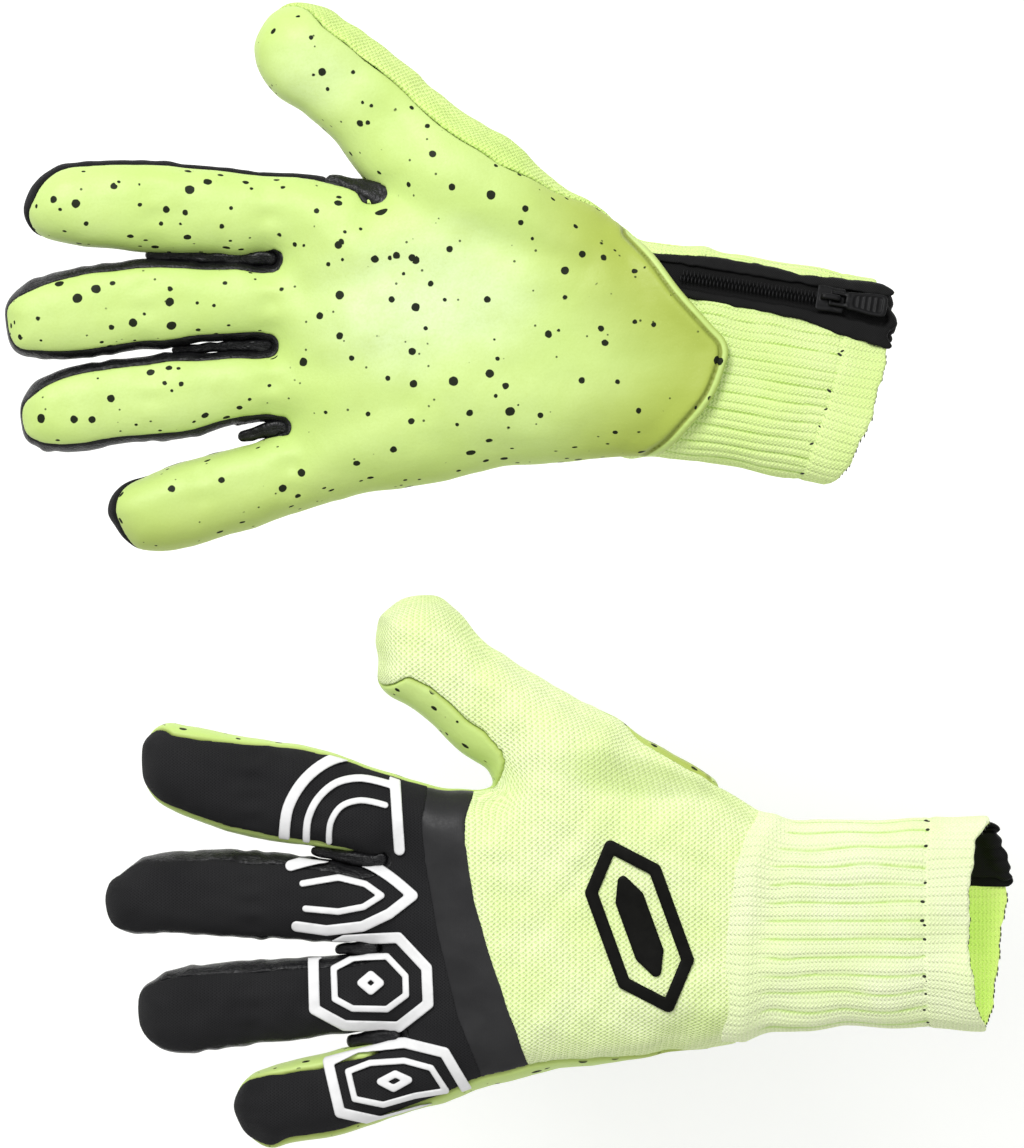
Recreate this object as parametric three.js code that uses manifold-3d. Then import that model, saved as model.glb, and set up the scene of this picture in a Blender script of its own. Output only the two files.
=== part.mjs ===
// A pair of football goalkeeper gloves, adult size 9 to 10, laid flat as a pair:
// the right glove with its palm up, the left glove with its back up, both with the
// fingers towards -X and the thumbs towards +Y.
// Millimetres, +Z up, Z = 0 is the plane the gloves lie on, and the origin is the
// middle of the layout of the two gloves on that plane.
//
// Each glove is built as separate panels: a latex palm, textile back panels, a knitted
// cuff and its zip. Every digit is split at a knuckle hinge and a middle hinge.
import * as THREE from "three";
import { mergeVertices } from "three/addons/utils/BufferGeometryUtils.js";
import Module from "manifold-3d";

const wasm = await Module();
wasm.setup();

// ---------------------------------------------------------------- sizes
const GAP = 0.3; // air between separate pieces
const SEAT = 0.6; // how much of each rounded underside is pressed flat
const LAYOUT_SHIFT = [3.87, -0.2]; // from the tables' origin to the middle of the layout

const FINGER_H = 12.4; // half thickness of a finger
const THUMB_H = 13.2; // half thickness of the thumb
const PALM_H = 16; // half thickness of the hand
const THUMB_ROOT_END_DROP = 3; // how much thinner the thumb root is where it ends in the hand

const PALM_WALL = 5.8;
const BACK_WALL = 2.8;
const SIDE_WALL = 3.4;
const FINGER_PALM_WALL = 4.6;
const FINGER_BACK_WALL = 2.6;
const HOLLOW_SHIFT = 3; // how far both ends of the hand's hollow move towards the wrist

const SQUARENESS = 2.5; // superellipse exponent of the cross sections
const FINGER_POINTS = 12; // points round a digit
const HOLLOW_POINTS = 8; // points round the hollow inside a digit
const HAND_POINTS = 18; // points round the hand and the cuff

// Rings that round a digit's end, as fractions of the way from its last station to its tip.
const END_STEPS = [0.5, 0.86, 1];
const HOLLOW_END_STEPS = [0.6, 1];
const END_TAPER = { width: 2.3, height: 2.6 }; // exponents of the rounding
const END_LEAST = { width: 0.3, height: 0.35 }; // smallest fraction of full size
const DEFAULT_ROOT = [12, 0, 0.4];

// Half widths of the cuts that part a digit from the hand.
const KNUCKLE_CUT = { thumbSide: 17.4, littleSide: 15.6, littleFinger: 45, thumb: 21 };
const LINK_REACH = 120; // half width of the boxes that hold a finger's links
const THUMB_LINK_REACH = 60;
const THUMB_CUT_LENGTH = 200;
const WEB_CUT = 20; // the hand's front cut ends this far short of the thumb knuckle

const CUFF_H = 13.6; // half height of the cuff
const CUFF_WALL = 2.4;
const CUFF_LENGTH = 76;
const CUFF_TUBE = { before: 8, after: 20 }; // uncut tube past the wrist and the cuff length
const CUFF_FLARE = { length: 12, width: 1.2 }; // extra half width at the wrist, and its run
const CUFF_CLEARANCE = 0.4; // between the cuff and the hand round it
const CUFF_DROP = { palmUp: 0.4, backUp: 0.2 }; // lowers the cuff
const MOUTH_SLANT = 0.42; // the palm side of the cuff is longer than the back

// Bounds of the cutting solids, all well clear of the gloves.
const FAR = 400;
const LOW = -50;
const HIGH = 90;
const BAND_CUT_Z = [-60, 95];

// Seam: how far the latex passes the middle height towards the back.
const HAND_SEAM = 5.5;
const DIGITS = {
  thumb: { halfHeight: THUMB_H, seam: 3.5, cloth: "knit" },
  index: { halfHeight: FINGER_H, seam: 4.5, cloth: "blackKnit" },
  middle: { halfHeight: FINGER_H, seam: -2.5, cloth: "blackKnit" },
  ring: { halfHeight: FINGER_H, seam: -2.5, cloth: "blackKnit" },
  little: { halfHeight: FINGER_H, seam: 4.5, cloth: "blackKnit" },
};
const DIGIT_NAMES = Object.keys(DIGITS);

// palmSide: +1 with the palm up, -1 with the palm down.
// Digits: line holds stations [x, y, half width] from the knuckle hinge outwards, tip is
//   the end point [x, y], hinge is the middle hinge's x (for the thumb, its fraction of
//   the length), and root is how the digit runs back into the hand
//   [length, shift in y, narrowing].
// thumbRoot: stations [x, y, half width] from the thumb's knuckle hinge into the hand.
// hand: stations [x, y on the thumb side, y on the little finger side, half height].
// Turns are in degrees about +Z.
const GLOVES = {
  right: {
    palmSide: 1,
    index: {
      root: [34, -9, 5],
      line: [
        [-83.8, 121.6, 14.5], [-104.5, 121.9, 14.6], [-121.3, 122.7, 14.5],
        [-138, 123.4, 14.1], [-151.4, 123.8, 13.2],
      ],
      tip: [-163.8, 122.9],
      hinge: -119.5,
    },
    middle: {
      line: [
        [-82.7, 91.4, 14.2], [-107.9, 90.9, 14.7], [-124.6, 89.5, 14.9],
        [-141.4, 88.2, 15], [-154.8, 87.1, 14.4],
      ],
      tip: [-170.2, 86.2],
      hinge: -122.5,
    },
    ring: {
      line: [
        [-82.7, 63, 13.6], [-108.9, 60.1, 14.3], [-124.6, 57.9, 14.5],
        [-138, 55.9, 14.4], [-151.4, 54.3, 13.7],
      ],
      tip: [-165.6, 52.5],
      hinge: -120.5,
    },
    little: {
      root: [34, 4, 5],
      line: [
        [-76, 34.3, 13.2], [-94.5, 27.6, 13.3], [-108.9, 23.2, 13.1],
        [-117.9, 20.6, 12.6], [-122.9, 19.1, 12],
      ],
      tip: [-134.6, 15.8],
      hinge: -103.5,
    },
    thumb: {
      line: [
        [-33.5, 143.4, 18.8], [-48.6, 158.4, 17.8], [-58, 166.8, 17], [-68.5, 174.4, 15.9],
      ],
      tip: [-82.3, 185.6],
      hinge: 0.47,
    },
    thumbRoot: [[-17, 129.6, 20.2], [5, 110.4, 22], [22, 97.5, 19], [36, 88, 11]],
    hand: [
      [-80.4, 134.6, 36, 12.6], [-61, 132, 24.6, 14], [-37.5, 124, 29.1, 15.6],
      [-10.7, 123.6, 34.2, 16], [16.1, 124.5, 37.5, 16], [36.2, 117.9, 39.5, 16],
      [47.9, 110.9, 40.9, 16], [82, 106, 34, 16],
    ],
    wrist: [47.9, 75.7],
    cuffTurn: -9.5,
    cuffHalfWidth: 35,
    mouthTurn: -21,
    mouthAt: [117, 54],
  },
  left: {
    palmSide: -1,
    index: {
      root: [34, -4, 5],
      line: [
        [-49.2, -79.9, 14.5], [-71, -74.3, 14.7], [-87.8, -70.7, 14.9],
        [-103.2, -67.3, 14.9], [-112.9, -65, 14],
      ],
      tip: [-125.2, -61.4],
      hinge: -86.5,
    },
    middle: {
      line: [
        [-48.2, -110.2, 14.2], [-71, -109.2, 14.5], [-91.1, -107.9, 14.5],
        [-107.9, -107, 14.4], [-121.3, -106.9, 13.6],
      ],
      tip: [-136.2, -108.2],
      hinge: -90.5,
    },
    ring: {
      line: [
        [-47.6, -139.6, 14], [-71, -141.6, 14.7], [-91.1, -144, 15],
        [-103.2, -145.1, 15], [-114.6, -146.1, 14.1],
      ],
      tip: [-126.8, -147.3],
      hinge: -86,
    },
    little: {
      root: [34, 5, 5],
      line: [
        [-39.5, -168.1, 13.2], [-54.3, -172.6, 13.3], [-64.7, -175.2, 13.3],
        [-74.4, -177.4, 13], [-81.1, -178.7, 12.1],
      ],
      tip: [-93.2, -180.4],
      hinge: -65,
    },
    thumb: {
      line: [[2.7, -51.6, 18.2], [-15, -37.8, 17.2], [-28, -28.4, 17], [-35.8, -23.1, 16.4]],
      tip: [-47, -15.3],
      hinge: 0.5,
    },
    thumbRoot: [[21, -65.5, 20], [42, -81, 21.5], [58, -92, 18], [70, -100, 11]],
    hand: [
      [-46, -66.5, -155, 12.6], [-24.1, -70.7, -176.5, 14], [-4, -71, -170.5, 15.6],
      [16.1, -68, -165.8, 16], [36.2, -66, -162.8, 16], [59.6, -70.5, -159.5, 16],
      [78.1, -79, -156.4, 16], [112, -82, -155, 16],
    ],
    wrist: [78.1, -117.2],
    cuffTurn: 0,
    cuffHalfWidth: 35.4,
    mouthTurn: 0,
    mouthAt: [157, -117.2],
  },
};

// Edges of the knuckle band, [x, y] in the left glove's plan, from the thumb side.
const BAND_FINGER_EDGE = [
  [-26.5, -60], [-29.8, -82.4], [-28.5, -95.8], [-24.5, -118.9], [-17.8, -147.4], [-4, -185],
];
const BAND_WRIST_EDGE = [
  [-12.4, -60], [-16.1, -82.4], [-16.1, -90.1], [-13.1, -109.2], [-8.4, -125.6],
  [-0.3, -149.7], [10.5, -185],
];
// The badge's centre is in the left glove's plan too.
const BADGE = { at: [42.5, -117.5], turn: 110, length: 60, width: 27, depth: 1.2, points: 28 };

// The palm's free end, [along the cuff, across it towards the thumb] from the wrist centre.
const FLAP = [
  [-13.9, 36.1], [-5.4, 30.7], [5.1, 20.5], [17.6, 10.5], [23.4, 6],
  [24.2, -1.9], [21.7, -13.7], [15.5, -24.9], [10.3, -34], [4.5, -38],
];
// How far the rest of the palm's outline runs clear of the hand.
const PALM_CLEAR = { wristCorner: 60, littleSide: 90, thumbSide: 160 };

// Zip frame: along the cuff from the wrist, across it towards the thumb, out of the cuff.
const ZIP_ACROSS = 25; // zip centre line, from the cuff centre towards the thumb
const ZIP_TILT = 18.2; // degrees the zip leans over towards the thumb
const TAPE_W = 14.6;
const CHAIN_W = 5.2;
const SLIDER_AT = 55; // slider centre, from the wrist
const PULL_END = 19; // far end of the pull, from the slider centre

// Zip blocks: [along from, to, across from, to, out from, to].
const SLOT = [-20, CUFF_LENGTH + 40, -TAPE_W / 2 - GAP, TAPE_W / 2 + GAP, -7, 8];
const TAPE = [1.5, CUFF_LENGTH, -TAPE_W / 2, TAPE_W / 2, -1.8, -0.7];
const CHAIN = [5, CUFF_LENGTH - 5, -CHAIN_W / 2, CHAIN_W / 2, -0.4, 1.3];
// The slider and the pull count their length from the slider centre.
const SLIDER = [
  [-4.8, 4.8, -4.4, 4.4, 1.6, 2.7], // plate over the chain
  [-4.8, 4.8, 2.9, 4.4, -0.3, 1.7], // flanges beside the chain
  [-4.8, 4.8, -4.4, -2.9, -0.3, 1.7],
  [-3.4, -2, -1, 1, 2.6, 5.8], // bridge posts
  [2, 3.4, -1, 1, 2.6, 5.8],
  [-3.4, 3.4, -1, 1, 4.9, 5.8], // bridge top
];
const PULL = [
  [-0.6, 0.6, -2.6, 2.6, 3.3, 4.5], // bar under the bridge
  [-0.6, 5.2, 1.4, 2.6, 3.3, 4.5], // arms
  [-0.6, 5.2, -2.6, -1.4, 3.3, 4.5],
  [4.8, PULL_END, -3.8, 3.8, 3.2, 4.6], // tab
];

const matte = (options) => new THREE.MeshStandardMaterial({ metalness: 0, ...options });
const MATERIALS = {
  latex: matte({ color: 0xd8f48f, roughness: 0.62 }),
  knit: matte({ color: 0xe6fcae, roughness: 0.95 }),
  blackKnit: matte({ color: 0x2b2b2c, roughness: 0.9 }),
  band: matte({ color: 0x3a3a3b, roughness: 0.45 }),
  badge: matte({ color: 0x151513, roughness: 0.3 }),
  zip: matte({ color: 0x1b1b1a, roughness: 0.7 }),
};

// ---------------------------------------------------------------- solids
const radians = (degrees) => (degrees * Math.PI) / 180;
const union = (solids) => solids.reduce((a, b) => a.add(b));

// Turns a sine or cosine into a superellipse coordinate.
const squared = (value) => Math.sign(value) * Math.abs(value) ** (2 / SQUARENESS);

function solid(geometry) {
  const flat = geometry.index ? geometry.toNonIndexed() : geometry;
  const bare = new THREE.BufferGeometry();
  bare.setAttribute("position", flat.attributes.position);
  const merged = mergeVertices(bare, 1e-4);
  return new wasm.Manifold(
    new wasm.Mesh({
      numProp: 3,
      vertProperties: new Float32Array(merged.attributes.position.array),
      triVerts: new Uint32Array(merged.index.array),
    }),
  );
}

// A closed tube through rings { x, y, halfWidth, halfHeight, midZ, along }, where along
// is the unit direction of the tube in plan.
function tube(rings, count) {
  const points = [];
  const index = [];
  for (const { x, y, halfWidth, halfHeight, midZ, along } of rings)
    for (let k = 0; k < count; k++) {
      const angle = ((k + 0.5) / count) * 2 * Math.PI;
      const across = halfWidth * squared(Math.cos(angle));
      const z = midZ + halfHeight * squared(Math.sin(angle));
      points.push(x - across * along.y, y + across * along.x, z);
    }
  const last = rings.length - 1;
  for (let i = 0; i < last; i++)
    for (let k = 0; k < count; k++) {
      const a = i * count + k;
      const b = i * count + ((k + 1) % count);
      index.push(a, b, b + count, a, b + count, a + count);
    }
  for (const i of [0, last]) {
    const centre = points.length / 3;
    points.push(rings[i].x, rings[i].y, rings[i].midZ);
    for (let k = 0; k < count; k++) {
      const a = i * count + k;
      const b = i * count + ((k + 1) % count);
      index.push(...(i === last ? [centre, a, b] : [centre, b, a]));
    }
  }
  const geometry = new THREE.BufferGeometry();
  geometry.setAttribute("position", new THREE.Float32BufferAttribute(points, 3));
  geometry.setIndex(index);
  return solid(geometry);
}

const boxGeometry = (x0, x1, y0, y1, z0, z1) =>
  new THREE.BoxGeometry(x1 - x0, y1 - y0, z1 - z0)
    .translate((x0 + x1) / 2, (y0 + y1) / 2, (z0 + z1) / 2);

const column = (x0, x1, y0, y1) => solid(boxGeometry(x0, x1, y0, y1, LOW, HIGH));
const slab = (z0, z1) => solid(boxGeometry(-FAR, FAR, -FAR, FAR, z0, z1));
const beyondX = (x) => column(x, FAR, -FAR, FAR);

function prism(points, z0 = LOW, z1 = HIGH) {
  const shape = new THREE.Shape(points.map(([x, y]) => new THREE.Vector2(x, y)));
  const options = { depth: z1 - z0, bevelEnabled: false };
  return solid(new THREE.ExtrudeGeometry(shape, options).translate(0, 0, z0));
}

// Everything on the side of a plane that its normal points away from.
function behind(point, normal) {
  const direction = new THREE.Vector3(...normal).normalize();
  const turn = new THREE.Quaternion().setFromUnitVectors(new THREE.Vector3(1, 0, 0), direction);
  const geometry = new THREE.BoxGeometry(600, 900, 900).translate(-300, 0, 0);
  return solid(geometry.applyQuaternion(turn).translate(...point));
}

// The palm half and the back half of a glove, parted at height z.
function halvesAt(z, palmSide) {
  const above = slab(z + GAP / 2, HIGH);
  const below = slab(LOW, z - GAP / 2);
  return palmSide > 0 ? { palm: above, back: below } : { palm: below, back: above };
}

// A mesh of the largest connected part of a solid.
function mesh(name, body, material) {
  const largest = body.decompose().reduce((a, b) => (a.volume() > b.volume() ? a : b));
  const { vertProperties, triVerts } = largest.getMesh();
  const geometry = new THREE.BufferGeometry();
  geometry.setAttribute("position", new THREE.Float32BufferAttribute(vertProperties, 3));
  geometry.setIndex(new THREE.Uint32BufferAttribute(triVerts, 1));
  geometry.computeVertexNormals();
  const made = new THREE.Mesh(geometry, MATERIALS[material]);
  made.name = name;
  return made;
}

// ---------------------------------------------------------------- size changes
// A change alters a tube's half width and half height, and raises its middle.
const FULL = { width: 0, height: 0, raise: 0 };

const hollowing = (backWall, palmWall, palmSide) => ({
  width: -SIDE_WALL,
  height: -(backWall + palmWall) / 2,
  raise: (palmSide * (backWall - palmWall)) / 2,
});

// ---------------------------------------------------------------- digits
function digitRings({ line, tip, root = DEFAULT_ROOT }, fullHalfHeight, change, endSteps) {
  const midZ = fullHalfHeight - SEAT + change.raise;
  const halfHeight = fullHalfHeight + change.height;
  const path = [...line, tip].map(([x, y]) => new THREE.Vector2(x, y));
  const alongs = line.map((_, i) =>
    path[i + 1].clone().sub(path[Math.max(0, i - 1)]).normalize(),
  );

  const [length, shift, narrowing] = root;
  const [startX, startY, startWidth] = line[0];
  const rings = [{
    x: startX - alongs[0].x * length,
    y: startY - alongs[0].y * length + shift,
    halfWidth: startWidth + change.width - narrowing,
    halfHeight,
    midZ,
    along: alongs[0],
  }];
  line.forEach(([x, y, width], i) => {
    rings.push({ x, y, halfWidth: width + change.width, halfHeight, midZ, along: alongs[i] });
  });

  const [endX, endY, endWidth] = line[line.length - 1];
  const along = new THREE.Vector2(tip[0] - endX, tip[1] - endY);
  const reach = along.length() + change.width;
  along.normalize();
  const taper = (step, key) =>
    Math.max(END_LEAST[key], (1 - step ** END_TAPER[key]) ** 0.5);
  for (const step of endSteps)
    rings.push({
      x: endX + along.x * reach * step,
      y: endY + along.y * reach * step,
      halfWidth: (endWidth + change.width) * taper(step, "width"),
      halfHeight: halfHeight * taper(step, "height"),
      midZ,
      along,
    });
  return rings;
}

// Cutting boxes: own clears the digit's place in the hand, base and tip hold its links.
function fingerCuts(name, { line, hinge }) {
  const [knuckle, y] = line[0];
  const littleSide = name === "little" ? KNUCKLE_CUT.littleFinger : KNUCKLE_CUT.littleSide;
  const link = (x0, x1) => column(x0, x1, y - LINK_REACH, y + LINK_REACH);
  return {
    own: column(-FAR, knuckle + GAP / 2, y - littleSide, y + KNUCKLE_CUT.thumbSide),
    base: link(hinge + GAP / 2, knuckle - GAP / 2),
    tip: link(-FAR, hinge - GAP / 2),
  };
}

// The same for the thumb, square to the line from its knuckle to its tip.
function thumbCuts({ line, tip, hinge }) {
  const [x, y] = line[0];
  const along = new THREE.Vector2(tip[0] - x, tip[1] - y);
  const middle = along.length() * hinge;
  const angle = Math.atan2(along.y, along.x);
  const place = (from, to, half) =>
    solid(boxGeometry(from, to, -half, half, LOW, HIGH).rotateZ(angle).translate(x, y, 0));
  return {
    own: place(-GAP / 2, THUMB_CUT_LENGTH, KNUCKLE_CUT.thumb),
    base: place(GAP / 2, middle - GAP / 2, THUMB_LINK_REACH),
    tip: place(middle + GAP / 2, THUMB_CUT_LENGTH, THUMB_LINK_REACH),
  };
}

function buildDigit(name, spec) {
  const digit = spec[name];
  const { halfHeight } = DIGITS[name];
  const hollow = hollowing(FINGER_BACK_WALL, FINGER_PALM_WALL, spec.palmSide);
  return {
    outer: tube(digitRings(digit, halfHeight, FULL, END_STEPS), FINGER_POINTS),
    inner: tube(digitRings(digit, halfHeight, hollow, HOLLOW_END_STEPS), HOLLOW_POINTS),
    cuts: name === "thumb" ? thumbCuts(digit) : fingerCuts(name, digit),
  };
}

// ---------------------------------------------------------------- hand
function handTube(stations, change) {
  const rings = stations.map(([x, thumbY, littleY, halfHeight]) => ({
    x,
    y: (thumbY + littleY) / 2,
    halfWidth: (thumbY - littleY) / 2 + change.width,
    halfHeight: halfHeight + change.height,
    midZ: halfHeight - SEAT + change.raise,
    along: { x: 1, y: 0 },
  }));
  return tube(rings, HAND_POINTS);
}

function thumbRootTube(spec, change) {
  const stations = [spec.thumb.line[0], ...spec.thumbRoot];
  const [start, , third] = stations;
  const along = new THREE.Vector2(third[0] - start[0], third[1] - start[1]).normalize();
  const rings = stations.map(([x, y, width], i) => ({
    x,
    y,
    halfWidth: width + change.width,
    halfHeight:
      THUMB_H + change.height - (i === stations.length - 1 ? THUMB_ROOT_END_DROP : 0),
    midZ: THUMB_H - SEAT + change.raise,
    along,
  }));
  return tube(rings, FINGER_POINTS);
}

// The hollow hand, open at the wrist and cut back at the knuckle hinges.
function handShell(spec, digits) {
  const outer = union([
    handTube(spec.hand, FULL),
    thumbRootTube(spec, FULL),
    ...DIGIT_NAMES.map((name) => digits[name].outer),
  ]);
  // the hollow leaves out the last station
  const hollowStations = spec.hand.slice(0, -1).map(([x, ...rest], i, { length }) => [
    i === 0 || i === length - 1 ? x + HOLLOW_SHIFT : x,
    ...rest,
  ]);
  const inner = union([
    handTube(hollowStations, hollowing(BACK_WALL, PALM_WALL, spec.palmSide)),
    thumbRootTube(spec, hollowing(FINGER_BACK_WALL, FINGER_PALM_WALL, spec.palmSide)),
    ...DIGIT_NAMES.map((name) => digits[name].inner),
  ]);
  const cuffSpace = cuffTube(spec, CUFF_CLEARANCE).intersect(beyondX(spec.wrist[0]));
  let hand = outer.subtract(inner).subtract(cuffSpace).intersect(slab(0, HIGH));
  for (const name of DIGIT_NAMES) hand = hand.subtract(digits[name].cuts.own);
  const front = Math.min(...["index", "middle", "ring"].map((name) => spec[name].line[0][0]));
  return hand.subtract(column(-FAR, front, -FAR, spec.thumb.line[0][1] - WEB_CUT));
}

// The plan of the palm: the free end, then wide of the hand all round.
function palmPlan(spec) {
  const flap = FLAP.map((point) => cuffPlan(spec, point));
  const thumbEdge = Math.max(...flap.map(([, y]) => y)) + PALM_CLEAR.thumbSide;
  return prism([
    ...flap,
    cuffPlan(spec, [0, -PALM_CLEAR.wristCorner]),
    [-FAR, flap[flap.length - 1][1] - PALM_CLEAR.littleSide],
    [-FAR, thumbEdge],
    [flap[0][0], thumbEdge],
  ]);
}

// A point of the left glove's plan, carried to the same place on this glove.
function backPlan(spec, [x, y]) {
  const [wristX, wristY] = GLOVES.left.wrist;
  return cuffPlan(spec, [x - wristX, y - wristY]);
}

// Everything on the finger side of an edge across the back, moved by shift along X.
function fingerSideOf(spec, edge, shift) {
  const line = edge.map((point) => backPlan(spec, point)).map(([x, y]) => [x + shift, y]);
  const outline = [[-FAR, line[0][1]], ...line, [-FAR, line[line.length - 1][1]]];
  return prism(outline, ...BAND_CUT_Z);
}

// The outer layer of the back under the badge's outline, grown all round by a clearance.
function badgeBlock(spec, clearance) {
  const [centreX, centreY] = backPlan(spec, BADGE.at);
  const turn = radians(BADGE.turn) + radians(spec.cuffTurn);
  const cos = Math.cos(turn);
  const sin = Math.sin(turn);
  const outline = [];
  for (let i = 0; i < BADGE.points; i++) {
    const angle = (i / BADGE.points) * 2 * Math.PI;
    const x = (BADGE.length / 2 + clearance) * squared(Math.cos(angle));
    const y = (BADGE.width / 2 + clearance) * squared(Math.sin(angle));
    outline.push([centreX + x * cos - y * sin, centreY + x * sin + y * cos]);
  }
  const palmUp = spec.palmSide > 0;
  const depth = BADGE.depth + clearance;
  const core = handTube(spec.hand, { width: -depth, height: -depth, raise: 0 })
    .intersect(slab(palmUp ? depth : LOW, HIGH));
  const skin = slab(LOW, HIGH).subtract(core);
  const backSide = palmUp ? slab(LOW, PALM_H) : slab(PALM_H, HIGH);
  return prism(outline).intersect(skin).intersect(backSide);
}

// The panels of the back of the hand: knuckle panel, band, badge and knit body.
function addBack(add, spec, back, thumbCut) {
  const thumbSide = thumbRootTube(spec, { width: 3, height: 20, raise: 0 }).add(thumbCut);
  const beforeBand = (shift) => fingerSideOf(spec, BAND_FINGER_EDGE, shift);
  const beforeKnit = (shift) => fingerSideOf(spec, BAND_WRIST_EDGE, shift);

  const panel = back.intersect(beforeBand(-GAP / 2)).subtract(thumbSide);
  add("knuckle_panel", panel, "blackKnit");

  const band = back.intersect(beforeKnit(-GAP / 2)).subtract(beforeBand(GAP / 2));
  add("knuckle_band", band.subtract(thumbSide), "band");

  // the badge sits flush in a pocket in the knit
  const badge = badgeBlock(spec, 0).intersect(handTube(spec.hand, FULL));
  add("back_badge", badge.intersect(slab(0, HIGH)), "badge");

  const knit = back.subtract(beforeKnit(GAP / 2).subtract(thumbSide));
  add("back_knit", knit.subtract(badgeBlock(spec, GAP)), "knit");
}

// ---------------------------------------------------------------- cuff
// A point [along the cuff, across it] from the wrist centre, as [x, y].
function cuffPlan({ wrist, cuffTurn }, [along, across]) {
  const cos = Math.cos(radians(cuffTurn));
  const sin = Math.sin(radians(cuffTurn));
  return [wrist[0] + along * cos - across * sin, wrist[1] + along * sin + across * cos];
}

const cuffMidZ = ({ palmSide }) =>
  palmSide > 0 ? CUFF_H - CUFF_DROP.palmUp : 2 * PALM_H - SEAT - CUFF_H - CUFF_DROP.backUp;

// The uncut cuff, grown all round and made longer at both ends.
function cuffTube(spec, grow, longer = 0) {
  const turn = radians(spec.cuffTurn);
  const start = -CUFF_TUBE.before - longer;
  const end = CUFF_LENGTH + CUFF_TUBE.after + longer;
  const rings = [start, 0, CUFF_FLARE.length, end].map((distance, i) => {
    const [x, y] = cuffPlan(spec, [distance, 0]);
    return {
      x,
      y,
      halfWidth: spec.cuffHalfWidth + grow + (i < 2 ? CUFF_FLARE.width : 0),
      halfHeight: CUFF_H + grow,
      midZ: cuffMidZ(spec),
      along: { x: Math.cos(turn), y: Math.sin(turn) },
    };
  });
  return tube(rings, HAND_POINTS);
}

// The knitted cuff, open along the zip and slanted at the mouth.
function cuffKnit(spec) {
  const mouth = radians(spec.mouthTurn);
  const slant = -spec.palmSide * MOUTH_SLANT;
  return cuffTube(spec, 0)
    .subtract(cuffTube(spec, -CUFF_WALL, 1))
    .intersect(beyondX(spec.wrist[0] + GAP / 2))
    .intersect(behind(
      [...spec.mouthAt, cuffMidZ(spec)],
      [Math.cos(mouth), Math.sin(mouth), slant],
    ))
    .intersect(slab(0, HIGH))
    .subtract(zipBlock(spec, SLOT));
}

// A block given in the zip's frame, set on the palm side of the cuff.
function zipBlock(spec, bounds) {
  const ratio = (ZIP_ACROSS / spec.cuffHalfWidth) ** SQUARENESS;
  const surface = CUFF_H * (1 - ratio) ** (1 / SQUARENESS);
  const geometry = boxGeometry(...bounds)
    .rotateX(radians(-ZIP_TILT))
    .translate(0, ZIP_ACROSS, surface)
    .scale(1, 1, spec.palmSide)
    .rotateZ(radians(spec.cuffTurn))
    .translate(...spec.wrist, cuffMidZ(spec));
  // mirroring turns the faces inside out, so turn them back
  if (spec.palmSide < 0) {
    const index = geometry.index.array;
    for (let i = 0; i < index.length; i += 3)
      [index[i + 1], index[i + 2]] = [index[i + 2], index[i + 1]];
  }
  return solid(geometry);
}

const sliderBlocks = (spec, blocks) =>
  union(blocks.map(([from, to, ...rest]) =>
    zipBlock(spec, [SLIDER_AT + from, SLIDER_AT + to, ...rest]),
  ));

// ---------------------------------------------------------------- gloves
function addDigit(add, name, { outer, inner, cuts }, palmSide) {
  const { halfHeight, seam, cloth } = DIGITS[name];
  const shell = outer.subtract(inner).intersect(slab(0, HIGH));
  const halves = halvesAt(halfHeight - SEAT - palmSide * seam, palmSide);
  for (const link of ["base", "tip"]) {
    const part = shell.intersect(cuts[link]);
    add(`${name}_${link}_palm`, part.intersect(halves.palm), "latex");
    add(`${name}_${link}_back`, part.intersect(halves.back), cloth);
  }
}

function glove(side) {
  const spec = GLOVES[side];
  const { palmSide } = spec;
  const group = new THREE.Group();
  const add = (name, body, material) => group.add(mesh(`${side}_${name}`, body, material));
  const digits = {};
  for (const name of DIGIT_NAMES) digits[name] = buildDigit(name, spec);

  const hand = handShell(spec, digits);
  const halves = halvesAt(PALM_H - SEAT - palmSide * HAND_SEAM, palmSide);
  add("palm_latex", hand.intersect(halves.palm).intersect(palmPlan(spec)), "latex");
  const beforeWrist = column(-FAR, spec.wrist[0] - GAP / 2, -FAR, FAR);
  const back = hand.intersect(halves.back).intersect(beforeWrist);
  addBack(add, spec, back, digits.thumb.cuts.own);

  add("cuff_knit", cuffKnit(spec), "knit");
  add("zip_tape", zipBlock(spec, TAPE), "zip");
  add("zip_chain", zipBlock(spec, CHAIN), "zip");
  add("zip_slider", sliderBlocks(spec, SLIDER), "zip");
  add("zip_pull", sliderBlocks(spec, PULL), "zip");

  for (const name of DIGIT_NAMES) addDigit(add, name, digits[name], palmSide);
  return group;
}

const pair = new THREE.Group();
pair.add(glove("right"), glove("left"));
pair.position.set(...LAYOUT_SHIFT, 0);

export default pair;
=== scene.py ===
# A pair of goalkeeper gloves lying flat, fingers towards -x and wrists towards +x.
# The right glove (at +y) lies palm up and the left glove (at -y) lies back up.
# Lengths are in millimetres in the gloves' own plan. A mesh is moved by SHIFT and
# scaled to metres when it is made. Padded pieces are cut from distance-like fields,
# negative inside, and meshed with surface nets.
import math
from functools import cached_property
from itertools import product

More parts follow.
